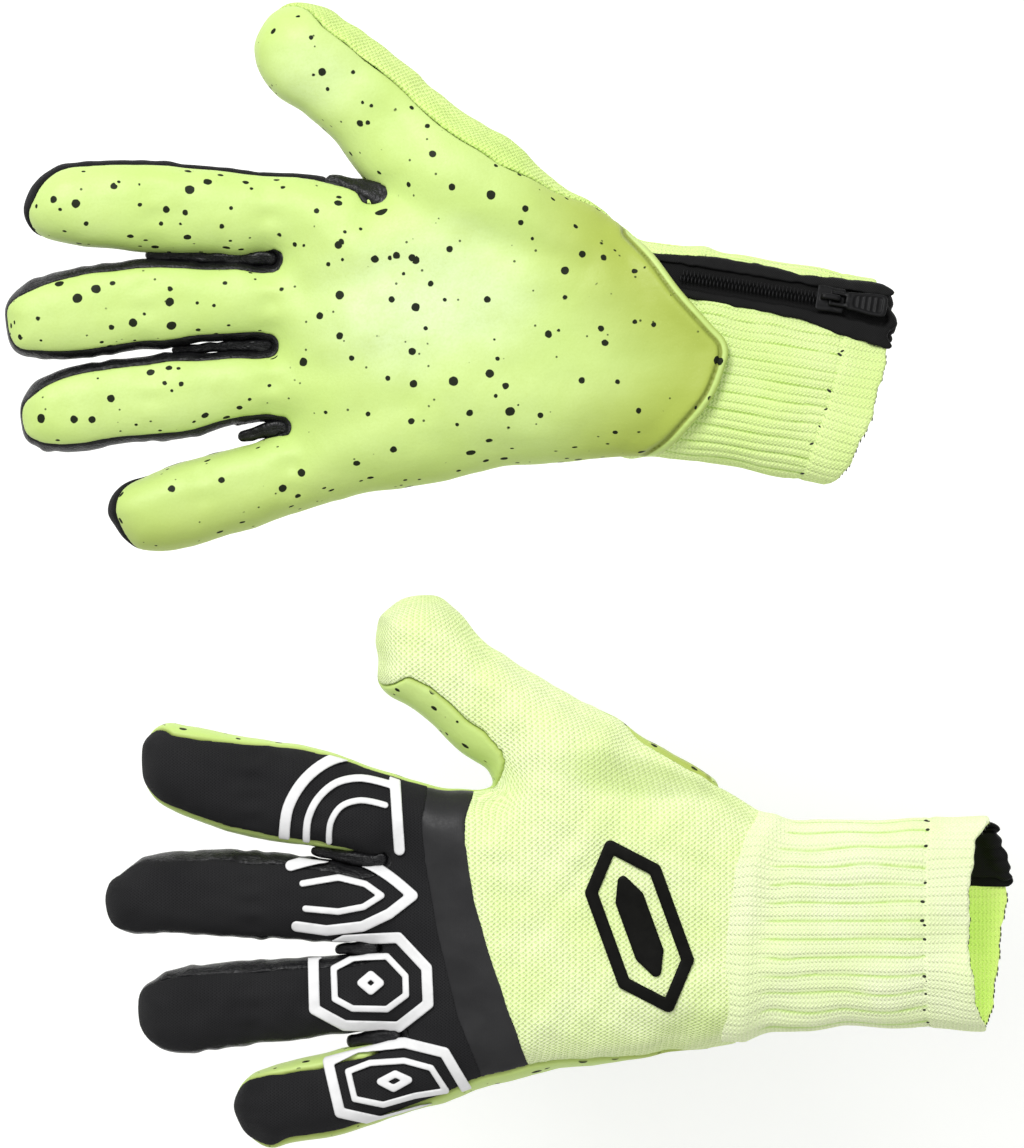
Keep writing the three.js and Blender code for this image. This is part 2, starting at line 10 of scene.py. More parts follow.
import bpy
import numpy as np
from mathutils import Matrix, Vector


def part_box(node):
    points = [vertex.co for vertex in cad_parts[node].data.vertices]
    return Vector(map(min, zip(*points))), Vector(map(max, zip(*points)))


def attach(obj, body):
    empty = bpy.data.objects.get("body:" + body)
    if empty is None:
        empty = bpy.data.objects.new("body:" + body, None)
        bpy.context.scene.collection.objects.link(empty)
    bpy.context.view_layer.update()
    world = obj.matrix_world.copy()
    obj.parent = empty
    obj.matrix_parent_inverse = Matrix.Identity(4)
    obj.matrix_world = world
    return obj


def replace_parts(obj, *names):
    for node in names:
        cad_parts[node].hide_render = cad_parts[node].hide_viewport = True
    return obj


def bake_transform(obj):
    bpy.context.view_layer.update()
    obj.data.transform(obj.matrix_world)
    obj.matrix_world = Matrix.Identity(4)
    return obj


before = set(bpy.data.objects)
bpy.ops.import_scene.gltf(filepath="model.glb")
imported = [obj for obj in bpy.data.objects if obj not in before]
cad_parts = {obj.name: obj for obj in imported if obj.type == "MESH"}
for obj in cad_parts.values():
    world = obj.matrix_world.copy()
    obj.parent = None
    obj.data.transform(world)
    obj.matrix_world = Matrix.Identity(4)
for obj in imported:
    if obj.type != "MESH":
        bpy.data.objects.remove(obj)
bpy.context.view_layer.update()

SHIFT = np.array([3.87, -0.2, 0.0])
PANEL_STEP = 0.8    # grid steps of the fields
PRINT_STEP = 0.45
CUFF_STEP = 0.75
TAPE_STEP = 0.6
METAL_STEP = 0.22   # slider, pull and end stops
POWER = 2.3                           # squareness of the rounded sides
LATEX_THICK, KNIT_THICK, CUFF_THICK = 4.4, 2.2, 2.2

SIGN = {"right": 1, "left": -1}       # +1 lies palm up, -1 lies back up
FINGERS = ["index", "middle", "ring", "little"]
DIGITS = ["thumb"] + FINGERS

# ------------------------------------------------------------------ measured plan
# Outline of hand and digits: x, y, seam height, or x, y, palm seam height, back seam
# height. Heights are shares of the half thickness, positive towards the palm.
OUTLINE = {
    "right": [
        (116.6, 99.5, 0), (89.1, 104.9, 0), (67, 108.9, 0), (49.6, 110.9, 0), (41.9, 112.2, 0.05),
        (36.2, 116.6, 0.1), (28.1, 123.3, 0.2), (15.7, 131, 0.55), (4.4, 141.4, 0.8),
        (-6.7, 150.1, 0.84), (-22.1, 159.1, 0.84), (-42.5, 176.2, 0.84), (-54.9, 184.9, 0.82),
        (-61.6, 189.3, 0.78), (-67.7, 191.3, 0.55), (-73.7, 191, 0.2), (-80.1, 188.3, -0.1),
        (-84.1, 182.9, -0.3), (-85.8, 177.6, -0.3), (-85.4, 172.9, -0.3), (-83.8, 166.8, -0.3),
        (-79.1, 160.5, -0.3), (-70, 154.4, -0.3), (-61, 146.1, -0.3), (-53.6, 137.3, -0.2),
        (-48.9, 131.3, 0.2), (-47.2, 128.6, 0.6), (-50.9, 130.3, 0.5), (-61, 132.7, 0.42),
        (-81.7, 135, 0.42), (-99.5, 136.7, 0.42), (-117.6, 138, 0.42), (-133, 138.7, 0.45),
        (-147.4, 138.4, 0.5), (-154.1, 136.3, 0.55), (-159.5, 132, 0.6), (-162.8, 126, 0.6),
        (-163.5, 120.3, 0.45), (-160.5, 114.9, 0.2), (-155.4, 111.9, -0.25), (-146.4, 110.2, -0.3),
        (-135.7, 109.5, -0.3), (-121.3, 107.9, -0.3), (-106.9, 106.5, -0.25), (-93.8, 106.2, -0.1),
        (-83.8, 106.9, 0.2), (-81.2, 105.5, 0.6, -0.6), (-83.8, 104.5, 0.66, -0.62),
        (-94.5, 105.5, 0.66, -0.62), (-108.9, 106.2, 0.66, -0.62), (-128, 105.5, 0.66, -0.62),
        (-144.7, 103.9, 0.68, -0.62), (-157.1, 100.5, 0.72, -0.62), (-165.8, 95.8, 0.66, -0.5),
        (-170.2, 89.8, 0.45, -0.35), (-170.5, 84.4, 0.4, -0.3), (-169.5, 78.4, 0.45, -0.35),
        (-166.2, 73.4, 0.55, -0.5), (-158.1, 71.4, 0.62, -0.62), (-144.7, 72, 0.62, -0.62),
        (-128, 74.4, 0.6, -0.62), (-108.9, 76.7, 0.6, -0.62), (-94.5, 77.7, 0.6, -0.62),
        (-84.4, 77.7, 0.6, -0.6), (-81.9, 76.5, 0.6, -0.6), (-84.4, 75.5, 0.66, -0.62),
        (-94.5, 75.4, 0.66, -0.62), (-108.9, 74.4, 0.66, -0.62), (-128, 72.7, 0.66, -0.62),
        (-144.7, 70.4, 0.68, -0.62), (-156.1, 67, 0.7, -0.62), (-163.1, 62, 0.66, -0.5),
        (-165.8, 56.6, 0.45, -0.35), (-166.2, 50.9, 0.4, -0.3), (-164.2, 44.6, 0.5, -0.4),
        (-157.1, 40.5, 0.6, -0.62), (-144.7, 41.2, 0.62, -0.62), (-135.7, 42.2, 0.62, -0.62),
        (-121.3, 43.6, 0.6, -0.62), (-108.9, 44.9, 0.6, -0.62), (-94.5, 48.2, 0.6, -0.6),
        (-82.4, 50.2, 0.6, -0.6), (-77.4, 48.9, 0.55, -0.4), (-83.8, 45.9, 0.2, -0.1),
        (-94.5, 41.9, 0), (-108.9, 38.2, 0), (-121.3, 33.8, 0.1), (-128.6, 30.5, 0.35),
        (-134, 25.8, 0.6), (-135.3, 20.8, 0.62), (-133.7, 15.7, 0.55), (-130.7, 11.1, 0.4),
        (-125.6, 7.7, 0.1), (-117.6, 7.4, -0.2), (-107.9, 9.4, -0.3), (-95.1, 12.7, -0.3),
        (-77.4, 18.8, -0.3), (-54.9, 26.1, -0.3), (-30.8, 30.2, -0.3), (-10.7, 34.2, -0.3),
        (6, 36.2, -0.25), (22.4, 38.2, -0.15), (39.5, 39.5, 0), (51.3, 38.9, 0), (63, 37.9, 0),
        (76.4, 35.8, 0), (89.1, 33.2, 0), (109.9, 28.8, 0),
    ],
    "left": [
        (158.5, -82.4, 0), (142.7, -81.4, 0), (118.3, -82.4, 0), (101.2, -81.4, 0),
        (90.1, -81.7, 0), (83.8, -79.7, -0.05), (72, -71.4, -0.3), (60.3, -64.3, -0.34),
        (45.6, -56.3, -0.3), (34.5, -48.6, -0.1), (24.1, -42.5, 0.1), (14.1, -37.2, 0.2),
        (0.3, -28.5, 0.2), (-9.4, -22.1, 0.2), (-14.1, -17.4, 0.2), (-19.4, -11.4, 0.2),
        (-25.1, -7.7, 0.2), (-29.5, -7, 0.2), (-35.8, -8.4, 0.2), (-41.5, -11.1, 0.2),
        (-45.2, -14.7, 0.2), (-46.2, -20.1, 0.2), (-45.6, -27.8, 0.1), (-44.9, -35.5, -0.1),
        (-41.5, -40.2, -0.8), (-34.8, -44.2, -0.92), (-27.8, -49.9, -0.93), (-21.1, -56.3, -0.93),
        (-13.4, -62, -0.9), (-8, -66, -0.75), (-6.4, -70.7, -0.3), (-10.7, -72.7, -0.1),
        (-17.4, -72.4, -0.1), (-26.5, -71.4, -0.2), (-41.9, -66.3, -0.3), (-57.3, -60.6, -0.36),
        (-74.4, -56.6, -0.45), (-87.8, -54.6, -0.55), (-98.2, -52.6, -0.68), (-107.9, -50.6, -0.74),
        (-114.6, -49.6, -0.68), (-119.3, -51.3, -0.3), (-122.9, -55.9, 0.1), (-124.3, -62.3, 0.2),
        (-123.3, -69, 0.1), (-120.6, -73.7, -0.15), (-115.2, -78.4, -0.4), (-103.2, -83.4, -0.5),
        (-87.8, -87.8, -0.52), (-75.4, -89.8, -0.5), (-64.3, -91.5, -0.45), (-54.3, -93.5, -0.4),
        (-48.2, -95.1, -0.3), (-44.2, -96.1, 0.5, -0.6), (-48.2, -97, 0.6, -0.8),
        (-57.6, -95.8, 0.6, -0.78), (-64.7, -94.8, 0.6, -0.76), (-84.1, -92.5, 0.6, -0.74),
        (-103.2, -91.8, 0.6, -0.72), (-117.6, -92.5, 0.6, -0.66), (-124.3, -94.1, 0.6, -0.5),
        (-130, -98.2, 0.5, -0.3), (-135.3, -103.9, 0.45, -0.1), (-136.3, -110.6, 0.4, -0.05),
        (-134.3, -116.9, 0.5, -0.2), (-129.3, -120.3, 0.6, -0.4), (-121.3, -120.9, 0.6, -0.45),
        (-112.6, -121.3, 0.6, -0.45), (-93.5, -122.3, 0.6, -0.45), (-74.4, -123.3, 0.6, -0.45),
        (-60, -124, 0.6, -0.45), (-50.2, -124, 0.6, -0.5), (-46.7, -125.3, 0.55, -0.6),
        (-50.2, -126.6, 0.6, -0.72), (-64.7, -127.3, 0.6, -0.74), (-84.1, -129, 0.6, -0.74),
        (-103.2, -130, 0.6, -0.72), (-113.9, -131.7, 0.6, -0.66), (-121.3, -135.7, 0.5, -0.45),
        (-125.6, -140.4, 0.45, -0.2), (-126.3, -146.1, 0.4, -0.05), (-125.3, -152.1, 0.5, -0.15),
        (-121.9, -157.5, 0.55, -0.3), (-117.2, -160.1, 0.6, -0.4), (-109.9, -161.1, 0.6, -0.45),
        (-98.2, -160.1, 0.6, -0.45), (-84.1, -158.5, 0.6, -0.45), (-64.7, -155.4, 0.6, -0.45),
        (-47.6, -153.8, 0.6, -0.45), (-42.9, -153.4, 0.5, -0.5), (-39.5, -154.3, 0.3, -0.7),
        (-42.9, -155.6, -0.3, -0.74), (-47.6, -156.8, -0.76), (-55.9, -158.8, -0.78),
        (-64.7, -161.1, -0.78), (-72.4, -162.5, -0.76), (-81.1, -164.8, -0.7),
        (-87.1, -167.5, -0.5), (-91.1, -172.2, -0.1), (-92.8, -178.2, 0.1), (-90.8, -184.2, 0.1),
        (-86.1, -189.3, -0.1), (-80.4, -191.6, -0.35), (-74.4, -190.6, -0.5), (-60, -188.6, -0.5),
        (-45.6, -183.9, -0.5), (-26.5, -178.2, -0.55), (-12.1, -172.5, -0.58), (-4, -170.5, -0.55),
        (12.7, -165.8, -0.5), (26.1, -164.2, -0.45), (37.2, -162.8, -0.35), (54.6, -160.5, -0.2),
        (71.4, -157.8, -0.05), (83.8, -155.4, 0), (96.5, -152.8, 0), (111.6, -151.1, 0),
        (125.3, -152.1, 0), (158.5, -152.8, 0),
    ],
}
# slits between neighbouring fingers, from the crotch outwards: x, y
SLITS = {
    "right": [
        [(-81, 105.6), (-95, 105.9), (-108, 106.4), (-125, 106.8), (-145, 107), (-175, 108)],
        [(-81.9, 76.5), (-94.5, 76.5), (-109, 75.5), (-128, 73.5), (-144.7, 71.2), (-175, 67)],
        [(-77.4, 48.9), (-83, 48), (-94.5, 45), (-109, 41.5), (-121, 38.7), (-140, 34),
         (-175, 26)],
    ],
    "left": [
        [(-44.2, -96.1), (-48, -96), (-56, -94.6), (-64.5, -93.1), (-75, -91.6), (-86, -90.2),
         (-103, -87.6), (-125, -83.5), (-150, -78)],
        [(-46.7, -125.3), (-62, -125.6), (-75, -125.8), (-93, -126), (-110, -126), (-150, -127)],
        [(-39.5, -154.3), (-47.6, -155.3), (-56, -156.8), (-64.7, -158.3), (-82, -161.6),
         (-100, -165), (-150, -174)],
    ],
}
# knuckle hinge x and y, middle hinge x
HINGE = {
    "right": {"index": (-83.75, 121.6, -119.5), "middle": (-82.7, 91.4, -122.5),
              "ring": (-82.7, 63.0, -120.5), "little": (-76.0, 34.3, -103.5)},
    "left": {"index": (-49.2, -79.9, -86.5), "middle": (-48.2, -110.2, -90.5),
             "ring": (-47.6, -139.6, -86.0), "little": (-39.5, -168.1, -65.0)},
}
# offsets in x from a hinge: the cut of the tip piece, start and end of the bend at the
# middle hinge, and end of the bend at the knuckle
BEND = {name: (8, 6.8, 10, 20) for name in FINGERS} | {"little": (6, 4.8, 8, 14)}
# start and end of the thumb, and the share of its length where its middle hinge is
THUMB = {"right": ((-33.5, 143.4), (-82.3, 185.6), 0.47), "left": ((2.7, -51.6), (-47.0, -15.3), 0.5)}
# line that parts thumb from index: a point and a second point further out
THUMB_LINE = {"right": ((-47.2, 128.6), (-100.0, 153.0)), "left": ((-7.0, -71.2), (-60.0, -48.5))}
WRIST = {"right": (47.9, 75.7, -9.5), "left": (78.1, -117.2, 0.0)}   # x, y, turn in degrees
# Creases across the palm side: x and y points, depth, width
CREASES = {
    "right": [
        ([(-40, 127.5), (-31, 122.5), (-22, 117.5), (-8, 112), (8, 107.5), (24, 103.5)], 1.7, 7.0),
        ([(-70, 96), (-58, 96.5), (-46, 99)], 0.9, 6.0),
        ([(-72, 68), (-58, 69.5), (-44, 73)], 0.9, 6.0),
        ([(-70, 45), (-54, 50), (-36, 56)], 0.7, 6.0),
        ([(-36, 100), (-30, 80), (-34, 60)], 0.6, 9.0),
    ],
    "left": [
        ([(0, -74), (12, -84), (24, -94)], 1.2, 7.0),
        ([(-34, -97), (-20, -99)], 0.6, 6.0),
        ([(-38, -125.6), (-22, -127)], 0.6, 6.0),
    ],
}
# swellings of each face: height, centre x, centre y, reach in x, reach in y
PALM_SWELLINGS = {"right": [(1.5, -5, 128, 34, 15), (0.9, 5, 60, 40, 16)],
                  "left": [(1.2, 22, -62, 28, 12)]}
BACK_SWELLINGS = {"right": [],
                  "left": [(-2.1, 42, -68, 19, 8.5), (0.9, 8, -76, 16, 10),
                           (0.8, 52, -96, 14, 16), (-0.7, 2, -56, 12, 7)]}
# edges of the smooth band on the left glove's back, fingers' side and wrist's side: y, x
BAND_FRONT = [(-60, -26.5), (-76, -28.4), (-82.4, -29.8), (-95.8, -28.5), (-118.9, -24.5),
              (-147.4, -17.8), (-165.8, -10.4), (-185, -4)]
BAND_REAR = [(-60, -12.4), (-73, -13.4), (-82.4, -16.1), (-90.1, -16.1), (-109.2, -13.1),
             (-125.6, -8.4), (-139, -4), (-149.7, -0.3), (-166.2, 5.7), (-185, 12)]
# how far the left glove's band and prints move in x and y
BAND_MOVE = {"right": (-34.5, 201.0), "left": (0.0, 0.0)}
PRINT_MOVE = {"right": (-34.5, 201.7), "left": (0.0, 0.0)}
# edge of the palm's wrist flap, and far points that close the area on the fingers' side: x, y
FLAP = {
    "right": [(40.2, 114.8), (47.6, 106.9), (56.3, 95.1), (67, 83.1), (71.2, 78.4), (72.4, 74),
              (71.4, 69.7), (67, 58.6), (59, 48.6), (52.6, 41.9), (46, 37.6)],
    "left": [(70.5, -78), (77.2, -86), (84.8, -98.5), (93.4, -112), (97, -117), (98, -121.6),
             (96.8, -126), (91, -136.6), (82, -145.6), (75, -152), (68.2, -157.4)],
}
FLAP_FAR = {"right": [(30, 12), (-300, -40), (-300, 260), (20, 260)],
            "left": [(60, -200), (-300, -240), (-300, 40), (50, 40)]}
# Webs that close the gaps at the finger roots: slit, finger, length, half width
WEBS = {
    "right": [(0, "middle", 40, 2.5), (1, "ring", 30, 2.2), (2, "ring", 13, 3.0)],
    "left": [(0, "middle", 22, 2.6), (1, "ring", 11, 2.6), (2, "ring", 14, 2.9)],
}
THUMB_WEB = [(-43.2, 126.4), (-48, 128), (-60, 131), (-75, 133)]

# ---- Cuff frame: u along towards +x, t across towards +y, n towards the palm
CUFF_HALF, CUFF_ROUND, CUFF_WIDE = 13.6, 24.0, 35.0   # half thickness, side rounding, half width
CUFF_MIDDLE = {"right": 13.0, "left": 17.8}           # height of the cuff's middle
RIB = 6.15                                            # nominal rib pitch
RIB_FROM = {"right": 10.0, "left": 16.0}              # the ribs run straight back from this u
# u, half width; at +t, then at -t
WIDTH = {
    "right": ([(-26, 40), (-18, 38.4), (-12, 35), (-4, 35), (13, 35.7), (36, 35.5), (64, 34.8),
               (90, 34.6)],
              [(-20, 38.5), (-2, 37.1), (9.4, 35.7), (21, 34.8), (35, 34.7), (48, 35.1), (69, 36),
               (90, 36.4)]),
    "left": ([(-12, 49.5), (-6, 45.3), (0, 41), (5.7, 37.5), (12, 35.4), (20, 34.8), (45, 35),
              (64, 35.9), (90, 34.9)],
             [(-20, 41.5), (-6.7, 40.2), (5.7, 37.9), (18.4, 35.4), (33, 34.1), (47, 34.8),
              (64, 35.4), (90, 35.4)]),
}
# t, u where the knit back turns into ribs
JOIN = [(-42, -4), (-35, -3), (0, -1.5), (20, 1), (30, 5), (36, 9), (42, 10)]
# t, u of the mouth; on the palm face, then on the back
MOUTH = {
    "right": ([(-40, 63), (-35.4, 66.4), (-26.8, 71.1), (-12, 75), (2.2, 76.4), (13.5, 76.5),
               (24, 73.5), (33.9, 70.4), (40, 69)],
              [(-40, 58.5), (-35.4, 61.6), (-26.8, 66), (-12, 69.8), (2.2, 71.2), (13.5, 71.3),
               (24, 69.5), (33.9, 67.4), (40, 66)]),
    "left": ([(-40, 81), (-35.6, 80.4), (-26.5, 83.7), (-10.8, 85.4), (9.3, 88.1), (15.7, 88.1),
              (26.1, 82.4), (33.8, 81.7), (40, 81.5)],
             [(-40, 82), (-35.6, 80.4), (-26.5, 77), (-14.1, 75), (-0.4, 74.3), (17, 75),
              (28.1, 77), (34.1, 81), (40, 82)]),
}
# t, u of the hem
HEM = {"right": [(-40, 55), (-31, 56), (-10, 59.6), (5.5, 61.5), (20, 60.5), (40, 57.5)],
       "left": [(-40, 62.4), (-20, 61), (0, 60.4), (20, 61), (40, 62.6)]}

# ---- Zip: its frame is tilted with the cuff's side. Edges are u, t.
ZIP_ACROSS, ZIP_TILT = 25.0, math.radians(18.2)
ZIP_OUT = CUFF_HALF * (1 - ((ZIP_ACROSS - CUFF_WIDE + CUFF_ROUND) / CUFF_ROUND) ** 2.5) ** 0.4
SLIT_HIGH = [(-10, 30.2), (-4, 30.8), (10, 32.4), (28, 32.8), (44, 31.6), (65, 33), (80, 33)]
SLIT_LOW = [(-10, 18.6), (20, 18.6), (46, 17.8), (63, 14.6), (76, 13), (90, 12.6)]
TAPE_LOW = [(-10, 17.6), (20, 17.6), (46, 16.6), (63, 13.4), (76, 12.2), (90, 12)]
PIPING_EDGES = {
    "piping_outer": dict(
        high=[(-10, 30.9), (-4, 31.3), (10, 33.2), (28, 33.6), (44, 32.4), (65, 33.8), (80, 33.8)],
        low=[(-10, 28.3), (4, 28.9), (40, 29), (60, 29.3), (80, 29.6)],
        thick=1.5, stand=0.5, loose_stand=0.9, tail=0.9, tail_at=31.8),
    "piping_inner": dict(
        high=[(-10, 21.3), (4, 21.1), (44, 21.2), (60, 20.5), (72, 19.6), (90, 19.4)],
        low=[(-10, 17.9), (20, 17.9), (46, 17.1), (63, 13.8), (76, 12.4), (90, 12.2)],
        thick=1.4, stand=0.45, loose_stand=1.1, tail=0.3, tail_at=15.5),
}
# lumps of the zip guard: t, n, extra radius
GUARD_LUMPS = [(27.8, 7.4, 0.6), (23.4, 8.8, 0.2), (19.4, 9.8, 0.3), (16.0, 10.8, -0.4)]
TOOTH_PITCH, CHAIN_START, CHAIN_LENGTH = 1.25, 4.5, 66


# ------------------------------------------------------------------ numbers and curves
def waves(seed, count, wavelength):
    """Smooth seeded noise, about -1 to 1, as a sum of plane waves."""
    draw = np.random.default_rng(seed)
    directions = draw.normal(size=(count, 3))
    directions /= np.linalg.norm(directions, axis=1)[:, None]
    rates = directions * (2 * np.pi / wavelength) * draw.uniform(0.7, 1.4, (count, 1))
    phases = draw.uniform(0, 2 * np.pi, count)

    def noise(x, y, z=0.0):
        total = 0
        for rate, phase in zip(rates, phases):
            total = total + np.sin(rate[0] * x + rate[1] * y + rate[2] * z + phase)
        return total / math.sqrt(count / 2) / 1.6
    return noise


def smoothstep(x):
    x = np.clip(x, 0, 1)
    return x * x * (3 - 2 * x)


def smax(first, second, soft):
    """Maximum with a rounded corner: the intersection of two fields."""
    return np.maximum(first, second) + np.maximum(soft - np.abs(first - second), 0) ** 2 / (4 * soft)


def smin(first, second, soft):
    return -smax(-first, -second, soft)


def lookup(table, x):
    """Second column of a table against its first."""
    table = np.array(table, float)
    order = np.argsort(table[:, 0])
    return np.interp(x, table[order, 0], table[order, 1])


def curve(points, steps=5, closed=True):
    """Centripetal Catmull-Rom curve through rows of numbers, by Barry and Goldman."""
    points = np.array(points, float)
    count = len(points)
    rows = []

    def mix(start, end, first, second):
        return (end - u) / (end - start) * first + (u - start) / (end - start) * second

    for i in range(count if closed else count - 1):
        places = np.arange(i - 1, i + 3)
        near = points[places % count if closed else np.clip(places, 0, count - 1)]
        spans = [max(np.linalg.norm(end[:2] - start[:2]), 1e-6) ** 0.5
                 for start, end in zip(near, near[1:])]
        knots = np.concatenate([[0.0], np.cumsum(spans)])
        for step in range(steps):
            u = knots[1] + step / steps * spans[1]
            level = [mix(knots[k], knots[k + 1], near[k], near[k + 1]) for k in range(3)]
            level = [mix(knots[k], knots[k + 2], level[k], level[k + 1]) for k in range(2)]
            rows.append(mix(knots[1], knots[2], *level))
    if not closed:
        rows.append(points[-1])
    return np.array(rows)


def plan_distance(line, x, y, closed=False):
    """Distance to a polyline, positive inside when closed, then its extra columns nearby."""
    line = np.asarray(line, float)
    flat_x, flat_y = x.ravel(), y.ravel()
    best = np.full(flat_x.shape, 1e12)
    columns = [np.zeros(flat_x.shape) for _ in range(line.shape[1] - 2)]
    inside = np.zeros(flat_x.shape, bool)
    count = len(line)
    for i in range(count if closed else count - 1):
        start, end = line[i], line[(i + 1) % count]
        dx, dy = end[0] - start[0], end[1] - start[1]
        square = dx * dx + dy * dy
        if square < 1e-12:
            continue
        share = np.clip(((flat_x - start[0]) * dx + (flat_y - start[1]) * dy) / square, 0, 1)
        off_x = flat_x - start[0] - share * dx
        off_y = flat_y - start[1] - share * dy
        distance = off_x * off_x + off_y * off_y
        near = distance < best
        best = np.where(near, distance, best)
        for k, column in enumerate(columns, 2):
            columns[k - 2] = np.where(near, start[k] + share * (end[k] - start[k]), column)
        if closed and dy != 0:
            inside ^= (((start[1] > flat_y) != (end[1] > flat_y))
                       & (flat_x < dx * (flat_y - start[1]) / dy + start[0]))
    distance = np.sqrt(best)
    if closed:
        distance = np.where(inside, distance, -distance)
    return [values.reshape(x.shape) for values in (distance, *columns)]


def bilinear(values, grid_x, grid_y):
    i = np.clip(grid_x.astype(int), 0, values.shape[0] - 2)
    j = np.clip(grid_y.astype(int), 0, values.shape[1] - 2)
    s, t = grid_x - i, grid_y - j
    return (values[i, j] * (1 - s) * (1 - t) + values[i + 1, j] * s * (1 - t)
            + values[i, j + 1] * (1 - s) * t + values[i + 1, j + 1] * s * t)


def rounded_section(across, up, rounding, half, floor):
    """Distance-like field of a squarish section, from its two shares of the half size."""
    total = np.maximum(across ** POWER + up ** POWER, 1e-5)
    level = total ** (1 / POWER) - 1
    slope = total ** (1 / POWER - 1) * np.sqrt(
        (across ** (POWER - 1) / rounding) ** 2 + (up ** (POWER - 1) / half) ** 2)
    return level / np.maximum(slope, floor / half)


# ------------------------------------------------------------------ meshing
CUBE_CORNERS = list(product((0, 1), repeat=3))


def nets(field, origin, step):
    """Surface nets round the negative side of a sampled field: vertices and quads."""
    solid = field < 0
    count = np.zeros(tuple(n - 1 for n in field.shape), np.uint8)
    for corner in CUBE_CORNERS:
        count += solid[tuple(slice(c, n - 1 + c) for c, n in zip(corner, field.shape))]
    active = (count > 0) & (count < 8)
    cells = np.argwhere(active)
    total = len(cells)
    index = np.full(count.shape, -1, np.int64)
    index[active] = np.arange(total)
    value = {corner: field[tuple((cells + corner).T)] for corner in CUBE_CORNERS}
    crossings = np.zeros((total, 3))
    number = np.zeros(total)
    for corner in CUBE_CORNERS:
        for axis in range(3):
            if corner[axis]:
                continue
            other = tuple(1 if i == axis else c for i, c in enumerate(corner))
            first, second = value[corner], value[other]
            cut = (first < 0) != (second < 0)
            share = np.where(cut, first / np.where(cut, first - second, 1), 0)
            point = np.zeros((total, 3)) + np.array(corner, float)
            point[:, axis] += share
            crossings[cut] += point[cut]
            number[cut] += 1
    verts = (crossings / number[:, None] + cells) * step + origin
    quads = []
    for axis in range(3):
        others = [i for i in range(3) if i != axis]
        size = field.shape[axis]
        first = solid.take(range(size - 1), axis)
        second = solid.take(range(1, size), axis)
        spots = np.argwhere(first != second)
        limit = np.array(field.shape)[others] - 1
        spots = spots[((spots[:, others] > 0) & (spots[:, others] < limit)).all(1)]
        flip = first[tuple(spots.T)]
        corners = []
        for offset in ((-1, -1), (0, -1), (0, 0), (-1, 0)):
            near = spots.copy()
            near[:, others] += offset
            corners.append(index[tuple(near.T)])
        quad = np.stack(corners, 1)
        if axis == 1:
            flip = ~flip
        quad[~flip] = quad[~flip][:, ::-1]
        quads.append(quad)
    quads = np.concatenate(quads)
    return verts, quads[(quads >= 0).all(1)]


def sample(field, origin, step, points):
    """Trilinear value of a field at points."""
    place = np.clip((points - origin) / step, 0.001, np.array(field.shape) - 1.001)
    cell = place.astype(int)
    share = place - cell
    total = 0
    for corner in CUBE_CORNERS:
        wx, wy, wz = (share[:, k] if corner[k] else 1 - share[:, k] for k in range(3))
        total = total + wx * wy * wz * field[tuple((cell + corner).T)]
    return total


def relax(field, origin, step, verts, quads, rounds):
    """Evens a mesh out, pulling it back onto the field's zero surface after each round."""
    count = len(verts)
    start = quads.ravel()
    end = np.roll(quads, -1, 1).ravel()
    source, target = np.concatenate([start, end]), np.concatenate([end, start])
    degree = np.maximum(np.bincount(source, minlength=count), 1)
    probe = 0.45 * step
    for _ in range(rounds):
        mean = np.stack([np.bincount(source, verts[target, k], count) for k in range(3)], 1)
        verts = verts + 0.5 * (mean / degree[:, None] - verts)
        for _ in range(2):
            value = sample(field, origin, step, verts)
            slope = np.stack([(sample(field, origin, step, verts + probe * axis)
                               - sample(field, origin, step, verts - probe * axis)) / (2 * probe)
                              for axis in np.eye(3)], 1)
            square = np.maximum((slope ** 2).sum(1), 0.09)
            move = -(value / square)[:, None] * slope
            length = np.linalg.norm(move, axis=1)[:, None]
            verts = verts + move * np.minimum(1, 0.5 * step / np.maximum(length, 1e-9))
    return verts


def normals_of(verts, quads):
    p = verts[quads]
    face = np.cross(p[:, 2] - p[:, 0], p[:, 3] - p[:, 1])
    total = np.stack([np.bincount(quads.ravel(), np.repeat(face[:, k], 4), len(verts))
                      for k in range(3)], 1)
    return total / np.maximum(np.linalg.norm(total, axis=1), 1e-12)[:, None]


def crop(field, pad=2):
    """Slices round the negative part of a field."""
    solid = field < 0
    cuts = []
    for axis in range(3):
        hit = np.nonzero(solid.any(axis=tuple(i for i in range(3) if i != axis)))[0]
        cuts.append(slice(max(hit[0] - pad, 0), min(hit[-1] + pad + 1, field.shape[axis])))
    return tuple(cuts)


def drop_specks(verts, quads, least=60):
    """Drops loose pieces of surface that have no more than `least` vertices."""
    label = np.arange(len(verts))
    while True:
        spread = label.copy()
        np.minimum.at(spread, quads.ravel(), np.repeat(label[quads].min(1), 4))
        spread = spread[spread]
        if (spread == label).all():
            break
        label = spread
    root, count = np.unique(label, return_counts=True)
    kept = quads[np.isin(label[quads[:, 0]], root[count > least])]
    used, inverse = np.unique(kept, return_inverse=True)
    return verts[used], inverse.reshape(kept.shape)


def skin(field, grid, rounds=2, clean=True):
    """Meshes a field on a grid (xs, ys, zs, step). Also returns the crop and its origin."""
    *axes, step = grid
    part = crop(field)
    origin = np.array([axis[cut.start] for axis, cut in zip(axes, part)])
    field = np.ascontiguousarray(field[part]).astype(np.float32)
    verts, quads = nets(field, origin, step)
    verts = relax(field, origin, step, verts, quads, rounds)
    if clean:
        verts, quads = drop_specks(verts, quads)
    return verts, quads, part, origin


